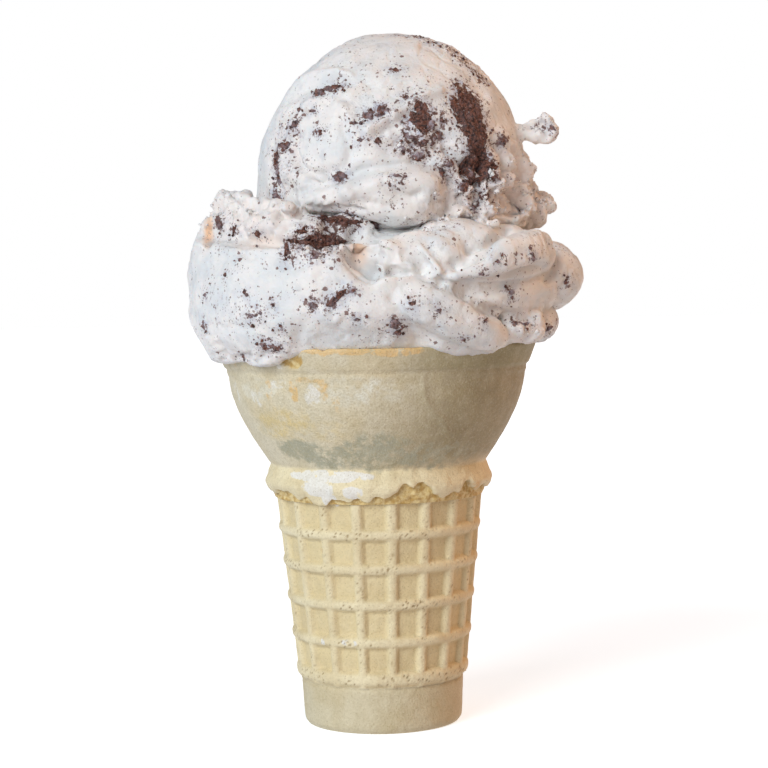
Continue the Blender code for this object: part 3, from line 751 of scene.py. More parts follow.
def in_relief(skin, rounds, rough_places, stroke_rows, seed):
    """A skin smoothed and then pushed along its normals: waves and creases everywhere, clumps by
    roughness, and the strokes. A crease lies where noise crosses zero, and comes and goes. A clump is noise
    broken into ledges, with crumble and pits. Returns the points, faces, normals and roughness."""
    points, quads = skin
    points = relaxed(points, quads, rounds)
    normals = point_normals(points, quads)
    rough = nearness(points, rough_places)
    stray = 0.5 + 0.5 * layered_noise(points, 11.0, seed)
    rough = np.clip(rough * (0.75 + 0.5 * stray) + 0.30 * eased((stray - 0.72) / 0.2), 0.0, 1.0)
    bent = points + 0.7 * np.stack([smooth_noise(points, 2.4, seed + n) for n in (1, 2, 3)], axis=1)
    push = sum(height * smooth_noise(bent, size, seed + 4 + n) for n, (size, height) in enumerate(WAVES))
    for n, (size, thin, depth) in enumerate(CREASES):
        here = eased(0.5 + 2.0 * smooth_noise(points, 2.2 * size, seed + 20 + n))
        push -= depth * here * hump(smooth_noise(bent, size, seed + 22 + n), thin)
    clumps = [
        height * broken(smooth_noise(bent, size, seed + 9 + n), ledges)
        for n, (size, height, ledges) in enumerate(CLUMPS)
    ]
    clumps.append(CRUMBLE_HEIGHT * (abs(smooth_noise(bent, CRUMBLE_SIZE, seed + 12)) - 0.3))
    clumps.append(-PIT_DEPTH * np.clip(cell_noise(bent, PIT_SIZE, seed + 13) - 0.66, 0.0, 1.0))
    push += rough * sum(clumps)
    push += strokes(points, -normals[:, 1], stroke_rows)
    points = points + normals * push[:, None]
    return points, quads, point_normals(points, quads), rough


lower = in_relief(lower_skin, 4, LOWER_ROUGH, LOWER_STROKES, 41)
upper = in_relief(upper_skin, 4, UPPER_ROUGH, UPPER_STROKES, 61)
for name, (points, *_, rough) in {"lower": lower, "upper": upper}.items():
    print(f"{name} scoop: {points[:, 2].min():.1f} to {points[:, 2].max():.1f} mm, {100 * rough.mean():.0f} % torn")


# %% [markdown]
# ## The wafer
#
# A cup cone is batter baked between two halves of a hot mould, so its outside is the mould's inside:
# a plain foot, a barrel with a waffle grid, a collar, a round bowl and a rim that flares. It is one
# surface of turning, so its radius is written as a function of bearing and height, and the grid is
# added to it as relief. Level ribs stand full height and run right round; upright ribs are lower and
# stop at them. Along the collar's lower edge the baked skin has broken away and shows the crumb.

# %% The wafer's mould, in mm and degrees
FOOT_RADIUS, FOOT_HEIGHT = 16.6, 9.5
BARREL_LOW, BARREL_HIGH = (10.0, 18.0), (46.0, 21.7)
RIB_COUNT, RIB_TURN, RIB_HALF_WIDTH = 18, 7.0, 4.0
RING_BASE, RING_PITCH, RING_PITCH_LOSS, RING_COUNT = 9.9, 8.1, 0.33, 5
RING_HEIGHT, LOWEST_RING_HEIGHT = 2.5, 3.2
CELL_DEPTH, UPRIGHT_HEIGHT = 1.3, 0.78
BARREL_TOP, COLLAR_TOP = 48.0, 54.9


def barrel_radius(height):
    """Radius over the level ribs: a straight taper."""
    slope = (BARREL_HIGH[1] - BARREL_LOW[1]) / (BARREL_HIGH[0] - BARREL_LOW[0])
    return BARREL_LOW[1] + slope * (height - BARREL_LOW[0])


def waffle_relief(azimuths, heights):
    """How high the grid stands at each place, from 0 on a cell's floor to 1 on a level rib. Both
    kinds of rib have the rounded section 1 - |distance / half width|^3."""
    pitch = 360.0 / RIB_COUNT
    beside = (azimuths + 90.0 - RIB_TURN + pitch / 2) % pitch - pitch / 2
    upright = np.clip(1.0 - np.abs(beside / RIB_HALF_WIDTH) ** 3, 0.0, 1.0) * UPRIGHT_HEIGHT
    edges = RING_BASE + np.cumsum([0.0, *(RING_PITCH - RING_PITCH_LOSS * np.arange(RING_COUNT - 1))])
    level = np.zeros_like(heights)
    for number, edge in enumerate(edges):
        tall = LOWEST_RING_HEIGHT if number == 0 else RING_HEIGHT
        off = (heights - edge - tall / 2) / (tall / 2 + 0.15)
        level = np.maximum(level, np.clip(1.0 - np.abs(off) ** 3, 0.0, 1.0))
    return np.maximum(level, upright)


# %% The collar's torn edge
TORN_EDGE = (
    (-180, 50.0), (-162, 49.4), (-150, 50.4), (-141, 50.2), (-136, 48.8), (-130, 49.6), (-126, 48.2), (-119, 47.8),
    (-115, 49.4), (-111, 48.9), (-106, 48.7), (-101, 49.4), (-96, 48.6), (-91, 49.6), (-87, 49.3), (-82, 50.4),
    (-78, 52.2), (-73, 51.4), (-69, 52.6), (-64, 51.6), (-60, 49.6), (-55, 49.0), (-50, 49.8), (-45, 49.5), (-42, 51.6),
    (-38, 52.2), (-35, 50.4), (-30, 49.6), (-24, 50.6), (-10, 49.4), (8, 50.1), (16, 48.6), (34, 50.0), (50, 51.4),
    (58, 49.3), (80, 50.0), (98, 48.6), (112, 50.1), (128, 51.2), (140, 49.0), (160, 49.8),
)
COLLAR_PROFILE = ((46.5, 22.2), (49.0, 23.0), (51.3, 23.9), (53.2, 23.3), (54.9, 22.6))
SKIN = 0.7  # thickness of the baked skin where it is torn


def collar_radius(height):
    """The collar's outside: a smooth curve through five heights."""
    fine = along(COLLAR_PROFILE, 200)
    return np.interp(height, fine[:, 0], fine[:, 1])


# %% Stains and the peeling skin of the bowl
KINK = 74.9  # height of the line where the bowl turns into the straight band
STAINS = {  # bearing, height, half widths in degrees and mm, and strength
    "toast_and_rim_highlight": (
        (-135, 71.4, 2.6, 3.0, 0.8), (-122.5, 71.6, 2.2, 3.4, 1.0), (-128, 70.4, 5.0, 4.0, 0.5),
        # the two rows at 79.4 and 79.6 mm are a painted highlight along the rim's top edge; the rest is real toasting
        (-110, 72.0, 2.4, 2.6, 0.9), (-105.6, 69.6, 2.2, 3.6, 0.7), (-117, 73.6, 8.0, 0.9, 0.7), (-97, 79.6, 24, 0.8, 1.6), (-84, 79.4, 9, 1.0, 2.4),
        (-73, 50.4, 10, 2.2, 0.5), (-33, 49.6, 12, 2.6, 0.9), (-44, 56.0, 24, 1.6, 0.35),
        (-150, 76.4, 12, 1.6, 0.5), (-127, 38.4, 3.0, 1.2, 0.7), (60, 70, 30, 4, 0.5), (140, 66, 20, 5, 0.5),
        (20, 78, 30, 1.5, 0.6), (170, 77, 16, 2, 0.6),
    ),
    "bloom": (
        (-125.6, 76.3, 2.6, 0.7, 1.0), (-114.6, 70.6, 4.2, 2.8, 0.8), (-130, 72.8, 6, 1.4, 0.7),
        (-93, 71.6, 14, 2.6, 0.42), (-143, 70.0, 5, 3.0, 0.6), (-118, 53.8, 24, 1.2, 1.7), (-122, 51.4, 10, 1.8, 1.2),
        (-103, 50.6, 6, 1.6, 1.0), (-116, 49.4, 4, 2.4, 1.4),
        (-130, 19.1, 2.0, 0.9, 1.0), (-110, 19.4, 7, 0.9, 0.9), (-122, 22.3, 2.4, 0.8, 0.8), 
        (-160, 71.0, 10, 3.4, 0.5), (40, 66.0, 14, 3.4, 0.7), (100, 53.0, 20, 1.6, 0.8), (-20, 68.0, 12, 4, 0.3),
    ),
    "frost": ((-98, 71.4, 24, 3.4, 1.2), (-142, 71.6, 14, 2.8, 1.1), (60, 71.0, 20, 3.0, 0.8), (170, 70.0, 24, 3.0, 0.8)),
    "straw": ((-132, 64.6, 22, 4.4, 1.2), (-112, 63.4, 12, 2.6, 1.0), (110, 64.0, 24, 3.6, 0.9), (20, 63.0, 20, 3.0, 0.7)),
    "sage": (
        (-128, 59.2, 16, 2.4, 1.9), (-112, 57.8, 20, 2.8, 1.7), (-90, 58.8, 18, 4.6, 1.5), (-62, 57.6, 30, 3.2, 1.3), (-74, 79.4, 4, 1.0, 0.7),
        (-66, 77.4, 14, 2.2, 0.5), (80, 59.0, 30, 3.0, 0.7),
    ),
}
FLAKED = ((-121.0, 77.9, 4.6, 1.9, 1.0),)  # where the skin under the rim has broken away
PEEL = ((-73.4, 73.8), (-72.6, 71.6), (-71.6, 69.4), (-67.7, 66.8), (-62.6, 64.9), (-58.8, 62.4), (-52.0, 62.0))


def soft_spots(azimuths, heights, rows):
    """The strongest of several spots: each gives strength * exp(-d^4) at d half widths from its middle."""
    total = np.zeros(heights.shape)
    for bearing, height, wide, high, strength in rows:
        away = (turn_between(azimuths, bearing) / wide) ** 2 + ((heights - height) / high) ** 2
        total = np.maximum(total, strength * np.exp(-(away**2)))
    return total


def peel(azimuths, heights):
    """The raised edge of skin that peels from the bowl: 0.34 mm high along its path."""
    path = along(PEEL, 80)
    near = (turn_between(azimuths, -64.0) ** 2 < 15.0**2) & (np.abs(heights - 68.0) < 8.0)
    across = (azimuths[near][:, None] - path[:, 0]) * math.radians(28.0)
    away = np.hypot(across, heights[near][:, None] - path[:, 1]).min(axis=1)
    rise = np.zeros(heights.shape)
    rise[near] = 0.34 * hump(away, 0.42)
    return rise


# %% The wafer's surface
WAFER_COLUMNS = 360


def wafer_rows(torn):
    """Heights and row kinds from the foot to the rim. The rows of the collar are shared out below
    and above the torn edge, so that one row runs exactly along it."""
    flat = np.ones_like(torn)
    foot = [h * flat for h in (0.55, 0.9, *np.linspace(1.5, FOOT_HEIGHT - 0.3, 11), FOOT_HEIGHT)]
    barrel = [h * flat for h in np.arange(RING_BASE + 0.1, BARREL_TOP, 0.33)]
    crumb = [BARREL_TOP + (torn - BARREL_TOP) * share for share in np.linspace(0.0, 1.0, 20)]
    skin = [torn + 0.03 + (COLLAR_TOP - torn - 0.03) * share for share in np.linspace(0.0, 1.0, 26) ** 1.4]
    bowl = [h * flat for h in np.linspace(COLLAR_TOP, BOWL_TOP[0], 32)[1:]]
    band = [h * flat for h in np.linspace(BOWL_TOP[0], WAFER_HEIGHT - 0.6, 15)[1:]]
    kinds = [0] * len(foot) + [1] * len(barrel) + [2] * len(crumb) + [3] * len(skin)
    kinds += [4] * (len(bowl) + len(band))
    return np.array(foot + barrel + crumb + skin + bowl + band), np.array(kinds)[:, None]


def rim_chips(azimuths):
    """How deep the rim is chipped: two broken places on the left of the front, and a slight wander."""
    circle = np.stack([np.cos(np.radians(azimuths)), np.sin(np.radians(azimuths)), 0 * azimuths], axis=-1) * 33.0
    wander = 0.10 * (1.0 + smooth_noise(circle, 3.0, 37))
    deep = np.clip(1.0 - np.abs(turn_between(azimuths, -119.0)) / 3.0, 0.0, 1.0) ** 0.7
    return wander + 0.8 * deep * (1.0 + 0.5 * smooth_noise(circle, 1.1, 39)) + 0.5 * hump(turn_between(azimuths, -108.5), 1.0)


def wafer_surface():
    """The closed shell of the cup, and its marks. The outside comes first, from the middle of the foot to
    the rim, and then the plain inside, down to the cup's floor."""
    azimuths = -180.0 + 360.0 / WAFER_COLUMNS * np.arange(WAFER_COLUMNS)
    turn = np.radians(azimuths)
    circle = np.stack([np.cos(turn), np.sin(turn), 0 * turn], axis=-1) * 20.0
    torn = around(azimuths, TORN_EDGE) + 0.35 * smooth_noise(circle, 1.3, 31) + 0.3 * smooth_noise(circle, 0.55, 32)
    torn = np.maximum(torn, BARREL_TOP - 0.3)
    heights, kinds = wafer_rows(torn)
    spread = np.broadcast_to(azimuths, heights.shape)
    relief = waffle_relief(spread, heights)
    foot = FOOT_RADIUS + 0.05 * heights - 0.35 * hump(heights - FOOT_HEIGHT, 0.25)
    foot -= 0.5 * hump(heights - 0.2, 0.5)
    barrel = barrel_radius(heights) - CELL_DEPTH * (1.0 - relief)
    crumb = collar_radius(heights) - SKIN - 0.35 * eased((heights - 49.0) / 3.0)
    crumb = np.minimum(crumb, barrel_radius(heights) + 0.3)
    radius = np.select([kinds == 0, kinds == 1, kinds == 2, kinds == 3], [foot, barrel, crumb, collar_radius(heights)],
                       bowl_radius(heights))
    place = np.stack([radius * np.cos(turn), radius * np.sin(turn), heights], axis=-1).reshape(-1, 3)
    flat_shape = heights.shape
    broken = np.broadcast_to(kinds == 2, flat_shape).reshape(-1).astype(float)
    rise = 0.06 * layered_noise(place, 1.6, 33) + broken * (0.7 * cell_noise(place, 1.3, 34) - 0.5)
    collar = np.broadcast_to(kinds == 3, flat_shape).reshape(-1)
    rise += collar * (0.16 * layered_noise(place, 2.2, 38) - 0.2 * hump(place[:, 2] - np.tile(torn, len(heights)), 0.5))
    ridged = relief.reshape(-1) * np.broadcast_to(kinds == 1, flat_shape).reshape(-1)
    pits = np.clip(cell_noise(place, 0.8, 35) - 0.67, 0.0, 1.0) * eased(0.6 + 2.0 * smooth_noise(place, 5.0, 36))
    pits = pits * np.clip(ridged * 2.0 - 0.9, 0.0, 1.0)
    rise -= 1.3 * pits
    rise = rise.reshape(flat_shape) - 0.30 * hump(heights - KINK, 0.35) + 0.12 * eased((heights - KINK) / 0.6)
    rise += peel(spread, heights)
    flaked = soft_spots(spread, heights, FLAKED) + 0.2 * smooth_noise(place, 0.8, 40).reshape(flat_shape)
    flaked = eased((flaked - 0.4) / 0.12)
    rise -= 0.45 * flaked
    radius = radius + rise
    outside = np.stack([radius * np.cos(turn), radius * np.sin(turn), heights], axis=-1)
    chips = rim_chips(azimuths)
    outside[..., 2] -= chips * eased((heights - KINK) / (WAFER_HEIGHT - 0.6 - KINK))

    def ring(r, h):
        r, h = r + 0 * turn, h + 0 * turn
        return np.stack([r * np.cos(turn), r * np.sin(turn), h], axis=-1)[None]

    under = [ring(r, 0.0) for r in (6.0, 12.0, 15.6)] + [ring(16.05, 0.12)]
    top = WAFER_HEIGHT - chips
    over = [ring(RIM_RADIUS - 0.05, top - 0.3), ring(RIM_RADIUS - 0.35, top - 0.04), ring(RIM_RADIUS - 0.8, top)]
    over += [ring(MOUTH_RADIUS + 0.3, top - 0.05), ring(MOUTH_RADIUS, top - 0.4)]
    inside = [ring(bowl_radius(h) - 1.6, h) for h in (77.0, 73.3, 67.0, 61.0, 55.0)]
    inside += [ring(barrel_radius(46.0) - 2.5, 46.0), ring(barrel_radius(3.0) - 2.5, 3.0), ring(8.0, 3.0)]
    rings = np.concatenate([*under, outside, *over, *inside])
    before, after = len(under) * WAFER_COLUMNS, len(inside) * WAFER_COLUMNS
    start = -108.0 + 0.7 * (heights - 64.0)
    on_the_right = eased((azimuths - start) / 58.0) * (1.0 - eased((azimuths - 15.0) / 60.0))
    marks = {
        "relief": np.where(np.broadcast_to(kinds == 1, flat_shape), relief, 1.0).reshape(-1),
        "crumb": np.maximum(broken, flaked.reshape(-1)),
        "pits": np.clip(7.0 * pits, 0.0, 1.0),
        # painted shade: the bowl darker towards the right, reaching further round to the front lower down, and an even
        # darker tone all round the foot
        "painted_shade_right_and_foot_tone": np.where(kinds == 0, 0.32, eased((heights - COLLAR_TOP) / 3.0) * on_the_right).reshape(-1),
        "bowl": (eased((heights - COLLAR_TOP) / 0.8) + 0.45 * (kinds == 0)).reshape(-1),
        # painted shadow on the band above the kink: light on the left, full from the front round to the right
        "band": (eased((heights - KINK) / 0.5) * (0.1 + 0.9 * on_the_right)).reshape(-1),
    }
    marks |= {name: soft_spots(spread, heights, rows).reshape(-1) for name, rows in STAINS.items()}
    for name, values in marks.items():
        plain = float(name == "relief")
        rim = np.tile(values[-WAFER_COLUMNS:], len(over))
        marks[name] = np.concatenate([np.full(before, plain), values, rim, np.full(after + 2, plain)])
    return closed_surface(rings), marks


# %% [markdown]
# ## The cookie
#
# The cookie was crushed before it was stirred in, so it shows as clusters of dark grains whose faces
# lie level with the cream, with a ragged outline, and as crumbs and dust around them. Each cluster is a thin
# closed patch that takes its shape from the cream's skin under it. Its rim dips below the cream
# and its grains rise above it, so the outline that shows is as uneven as the grains are.

# %% Clusters of cookie that hug the cream
def front_place(cream, x, z):
    """The point of the cream that is seen at x and z from the front."""
    points = cream[0]
    near = np.flatnonzero(np.hypot(points[:, 0] - x, points[:, 2] - z) < 1.0)
    return points[near[points[near, 1].argmin()]]


def cluster(cream, middle, half_wide, half_high, tilt, seed, lift=0.30, grain=0.85, rings=10, sides=28, tip=1.0):
    """A patch of grains on the cream. On the plane that touches the cream at `middle`, a polar grid
    (wide r cos t, high r sin t) is turned by `tilt` degrees and widened by noise round its outline.
    The outer sheet stands at the cream's height there plus lift (1 - r^4) plus the grains, and
    the inner one lies below it. They meet at the rim, where the patch has sunk by 0.4 mm. The cream's
    height is taken from its outermost layer there, and `tip` says how far the plane may face up."""
    points, _, normals, _ = cream
    reach = 1.35 * max(half_wide, half_high) + 1.2
    near = np.flatnonzero(((points - middle) ** 2).sum(axis=1) < reach**2)
    close = near[((points[near] - middle) ** 2).sum(axis=1) < 4.0]
    out = normals[close].sum(axis=0) * (1.0, 1.0, tip)
    out /= np.linalg.norm(out)
    near = near[normals[near] @ out > 0.1]
    depths = (points[near] - middle) @ out
    up = np.array([0.0, 0.0, 1.0]) - out * out[2]
    up /= max(np.linalg.norm(up), 1e-6)
    side = np.cross(up, out)
    t = np.linspace(0.0, 2 * math.pi, sides, endpoint=False)
    r = np.linspace(1.0 / rings, 1.0, rings)[:, None]
    outline = np.stack([np.cos(t), np.sin(t), 0 * t + seed], axis=-1)
    wide = 1.0 + 0.3 * smooth_noise(outline, 0.9, seed) + 0.3 * smooth_noise(outline, 0.35, seed + 1)
    a, b = half_wide * wide * r * np.cos(t), half_high * wide * r * np.sin(t)
    turn = math.radians(tilt)
    u, v = a * math.cos(turn) - b * math.sin(turn), a * math.sin(turn) + b * math.cos(turn)
    flat = np.stack([(points[near] - middle) @ side, (points[near] - middle) @ up], axis=1)
    away = (u.reshape(-1, 1) - flat[:, 0]) ** 2 + (v.reshape(-1, 1) - flat[:, 1]) ** 2
    outermost = np.where(away < 0.5, depths, -9.0).max(axis=1)[:, None]
    weight = (depths > outermost - 1.0) / (away + 0.05) ** 3
    cream_height = (weight * depths).sum(axis=1) / weight.sum(axis=1)
    sheet = middle + u.reshape(-1, 1) * side + v.reshape(-1, 1) * up + cream_height[:, None] * out
    rough = cell_noise(sheet, 0.95, seed + 2) - 0.5 + 0.6 * (cell_noise(sheet, 0.55, seed + 3) - 0.5)
    fall = (r + 0 * t).reshape(-1) ** 4
    outer = sheet + (lift * (1.0 - fall) - 0.4 * fall + grain * rough)[:, None] * out
    inner = sheet - (0.3 + 1.6 * (1.0 - fall))[:, None] * out
    outer, inner = outer.reshape(rings, sides, 3), inner.reshape(rings, sides, 3)
    return closed_surface(np.concatenate([inner, outer[::-1]]))


# %% Where the clusters lie
UPPER_CLUSTERS = (  # x, z, half width, half height, tilt: as seen from the front, in mm and degrees
    (1.2, 127.0, 1.3, 1.7, 10), (-1.2, 126.2, 1.2, 1.0, 0), (-8.9, 132.4, 3.2, 0.9, 14), (-11.0, 131.4, 1.2, 1.0, 0),
    (-16.6, 124.6, 0.9, 1.5, -20), (-18.4, 121.2, 1.3, 1.6, -24), (-20.4, 118.4, 1.2, 1.9, 20),
    (-20.0, 114.6, 0.8, 2.2, 6), (-20.6, 110.4, 1.5, 1.2, -20), (-7.2, 114.3, 1.2, 1.2, 0), (0.6, 121.4, 0.8, 1.1, 20),
    (-2.7, 121.6, 0.8, 0.7, 0), (6.6, 130.0, 0.7, 0.6, 0), (-11.4, 123.0, 1.1, 0.7, 0), (4.4, 114.2, 1.7, 0.4, 0),
    (12.6, 123.4, 1.1, 1.5, 10), (13.6, 121.0, 1.2, 1.2, -20), (14.4, 124.9, 0.8, 0.8, 0), (6.6, 119.0, 1.0, 0.6, -20),
    (10.0, 117.4, 1.2, 0.8, 0), (14.4, 114.2, 1.2, 1.1, 20), (22.0, 116.2, 2.0, 1.0, -10), (23.4, 109.4, 1.3, 0.7, 0),
    (18.0, 111.0, 1.1, 1.3, 10), (20.6, 106.6, 0.9, 1.1, 0), (26.4, 119.4, 1.2, 1.2, 0), (4.6, 135.6, 1.6, 0.5, -20),
    (0.0, 102.8, 0.9, 2.1, 4), (36.6, 124.4, 0.6, 0.9, 20),
    (8.0, 121.0, 1.4, 0.7, -30), (11.0, 119.2, 1.5, 0.8, 20), (-15.4, 128.0, 0.9, 0.7, 0), (-12.6, 127.6, 0.8, 0.5, 0),
    (16.0, 116.4, 1.0, 0.8, 0), (19.6, 113.4, 0.8, 1.2, 0), (25.0, 112.6, 0.9, 0.8, 0), (-3.4, 125.0, 0.7, 0.6, 0),
)
LOWER_CLUSTERS = (
    (-14.4, 103.8, 1.2, 1.1, 20), (-17.9, 99.4, 0.7, 2.4, 6), (-11.6, 99.2, 1.5, 1.2, 0), (-32.4, 105.6, 0.7, 1.8, 12), (-29.0, 103.3, 0.5, 1.4, 0),
    (-23.4, 101.5, 0.6, 1.0, 0), (-8.7, 89.0, 2.4, 0.8, 38), (-7.0, 90.2, 1.5, 0.6, 40), (-5.2, 91.5, 1.0, 0.5, 20),
    (-12.8, 87.9, 1.0, 1.0, 0), (-25.4, 86.9, 1.3, 0.7, -10), (-23.1, 86.9, 0.5, 0.5, 0), (-20.6, 88.9, 0.5, 0.5, 0),
    (-26.4, 91.6, 0.5, 0.9, 0), (-18.6, 83.6, 0.5, 0.8, 0), (-22.6, 80.2, 2.0, 0.8, -14), (-19.8, 79.6, 1.6, 0.7, -4),
    (-27.4, 78.0, 0.6, 0.7, 0), (4.1, 84.0, 1.5, 1.2, -30), (5.0, 82.2, 1.1, 1.0, 0), (32.0, 97.2, 0.6, 0.9, 20),
    (39.4, 91.0, 0.6, 0.8, 0), (27.5, 90.6, 1.1, 0.6, 24), (27.4, 85.0, 1.0, 0.5, -20), (16.5, 80.5, 0.7, 0.5, 0),
    (8.0, 88.9, 0.9, 0.5, 0), (-35.0, 91.0, 0.6, 0.8, 0), (-35.6, 84.6, 0.5, 1.2, 0), (20.4, 93.0, 0.8, 0.5, 10),
    (35.6, 82.0, 1.5, 0.6, 10), (30.2, 84.6, 0.9, 0.5, 0), (-3.6, 84.8, 0.8, 0.4, 0), (-30.4, 95.0, 0.6, 0.5, 0),
    (-27.0, 98.4, 0.5, 0.5, 0), (13.0, 87.4, 0.7, 0.5, 0), (22.0, 84.4, 0.8, 0.5, 0), (24.6, 96.4, 0.6, 0.5, 0),
)


def round_the_back(cream, count, seed):
    """Clusters where the front doesn't show: random places on the skin, 0.5 to 2.6 mm in half size."""
    random = np.random.default_rng(seed)
    points, _, normals, _ = cream
    open_skin = np.flatnonzero((points[:, 1] > 3.0) & (normals[:, 2] > -0.6) & (normals[:, 2] < 0.97))
    chosen = random.choice(open_skin, count, replace=False)
    sizes = 0.5 + 2.1 * random.uniform(0.0, 1.0, (count, 2)) ** 2.2
    tilts = random.uniform(-90.0, 90.0, count)
    return [(points[at], *size, tilt) for at, size, tilt in zip(chosen, sizes, tilts)]


def over_the_top(cream):
    """A smear of fine cookie over the right shoulder of the dome, on the arc where it turns away."""
    angles = np.radians(np.arange(4.0, 46.0, 4.5))
    arc = np.stack([DOME_RADIUS * np.sin(angles), -5.0 - 10.0 * angles, DOME_RISE * np.cos(angles)], axis=1)
    nearest = [((cream[0] - place) ** 2).sum(axis=1).argmin() for place in DOME_CENTRE + arc]
    return [cluster(cream, cream[0][at], 1.6, 0.5, -30.0, seed=500 + at, lift=-0.1, grain=0.3) for at in nearest]


def all_clusters(cream, front_rows, back_count, seed):
    front = [(front_place(cream, x, z), *sizes) for x, z, *sizes in front_rows]
    return front + round_the_back(cream, back_count, seed)


upper_clusters = all_clusters(upper, UPPER_CLUSTERS, 40, 81)
lower_clusters = all_clusters(lower, LOWER_CLUSTERS, 50, 82)
print(f"{len(upper_clusters) + len(lower_clusters)} clusters of cookie")

# %% The four large crumbs, and all the others
LARGE_CRUMBS = {  # host, x, z, half width, half height, tilt, and how far its plane may face up
    "cookie_chunk_dome": (upper, 20.9, 124.1, 3.6, 10.0, -1, 1.0),
    "cookie_chunk_brow": (upper, 9.9, 125.7, 2.5, 3.5, 4, 1.0),
    "cookie_chunk_ledge": (lower, -11.2, 101.4, 5.3, 1.8, 4, 0.3),
    "cookie_chunk_seam": (lower, -6.4, 105.9, 4.8, 0.9, -9, 0.2),
}
large_crumbs = {
    name: cluster(cream, front_place(cream, x, z), *sizes, seed=91 + n, lift=0.42, rings=26, sides=76, tip=tip)
    for n, (name, (cream, x, z, *sizes, tip)) in enumerate(LARGE_CRUMBS.items())
}
small_clusters = [cluster(upper, *row, seed=100 + n) for n, row in enumerate(upper_clusters)]
small_clusters += [cluster(lower, *row, seed=300 + n) for n, row in enumerate(lower_clusters)]
small_clusters += over_the_top(upper)


# %% How much cookie lies near
def cookie_near(points, grains):
    """From 0 to 1: the clusters' points are marked in cubes 1 mm wide, the marks are blurred twice along
    each axis by (1, 2, 1) / 4, and a point takes the mix of the eight cubes round it, doubled."""
    low = points.min(axis=0) - 4.0
    grains = grains[((grains > low + 1.0) & (grains < points.max(axis=0) + 3.0)).all(axis=1)]
    field = np.zeros(np.ceil(np.ptp(points, axis=0) + 8.0).astype(int))
    field[tuple(np.floor(grains - low).astype(int).T)] = 1.0
    for axis in (0, 1, 2, 0, 1, 2):
        field = (np.roll(field, 1, axis) + 2.0 * field + np.roll(field, -1, axis)) / 4.0
    place = points - low - 0.5
    cell = np.floor(place).astype(int)
    total = np.zeros(len(points))
    for corner in np.ndindex(2, 2, 2):
        weight = np.prod(np.where(np.array(corner) == 1, place - cell, 1.0 - place + cell), axis=1)
        total += weight * field[tuple((cell + corner).T)]
    return np.clip(2.0 * total, 0.0, 1.0)


all_grains = np.vstack([surface[0] for surface in [*large_crumbs.values(), *small_clusters]])
lower_cocoa, upper_cocoa = cookie_near(lower[0], all_grains), cookie_near(upper[0], all_grains)


# %% Loose crumbs
def crumbs(cream, weight, count, low, high, seed, sunk=0.3):
    """Loose crumbs on the skin, from `low` to `high` mm across and mostly small: blunt ellipsoids of
    20 points, each stretched and turned at random. They are thickest where `weight` is high."""
    random = np.random.default_rng(seed)
    points, _, normals, _ = cream
    at = random.choice(len(points), count, p=weight / weight.sum())
    half = (low + (high - low) * random.uniform(0.0, 1.0, count) ** 2.5) / 2.0
    a = np.radians([-52.0, 0.0, 52.0])[:, None]
    b = np.radians(np.arange(0.0, 360.0, 60.0))
    ball = closed_surface(np.stack([np.cos(a) * np.cos(b), np.cos(a) * np.sin(b), np.sin(a) + 0 * b], axis=-1))
    turn = np.linalg.qr(random.normal(size=(count, 3, 3)))[0]
    turn *= np.sign(np.linalg.det(turn))[:, None, None]
    shape = ball[0] * random.uniform(0.55, 1.25, (count, 1, 3)) * random.uniform(0.65, 1.3, (count, len(ball[0]), 1))
    placed = np.einsum("nij,nkj->nki", turn, shape) * half[:, None, None]
    placed += (points[at] + normals[at] * (half * (1.0 - 2.0 * sunk))[:, None] * 0.8)[:, None, :]
    shift = (np.arange(count) * len(ball[0]))[:, None, None]
    return placed.reshape(-1, 3), (ball[1] + shift).reshape(-1, 4), (ball[2] + shift).reshape(-1, 3)


cookie_crumbs = joined([
    crumbs(upper, 0.001 + upper_cocoa**1.5, 720, 0.2, 0.8, 71),
    crumbs(lower, 0.001 + lower_cocoa**1.5, 760, 0.2, 0.8, 72),
])
cream_crumbs = joined([
    crumbs(upper, upper[3] ** 3 + 0.002, 480, 0.4, 1.5, 73, sunk=0.6),
    crumbs(lower, lower[3] ** 3 + 0.002, 360, 0.4, 1.5, 74, sunk=0.6),
])
print(f"{len(cookie_crumbs[1])} squares of cookie crumbs and {len(cream_crumbs[1])} of cream crumbs")


# %% [markdown]
# ## Vanilla ice cream
#
# Ice cream is a foam of fat, air and small ice crystals, so light goes a few millimetres in and comes
# out again: shadows are soft and pale. The face sees an off-white, cooler where it is wet and warmer where
# it is torn and dry. Its index is near that of ice, 1.33. Dust of crushed cookie is stirred all through it,
# and near each cluster it is thick and stains the cream grey and lilac.

# %% Vanilla ice cream
cream, tree, shader, place = new_material("vanilla_ice_cream", roughness=0.40, ior=1.34)
rough, cocoa, warm = mark(tree, "rough"), mark(tree, "cocoa"), mark(tree, "warm")
colour = painted(tree, linear("#ebe9e6"), linear("#dfe1e1"), patches(tree, place, 7.0, 0.4, 0.65))
colour = painted(tree, colour, linear("#f0e2da"), add(tree, "Math", {0: rough, 1: 0.5}, operation="MULTIPLY").outputs[0])
# painted glow: peach light shining through the folds, painted as colour
colour = painted(tree, colour, linear("#eec29c"), warm)
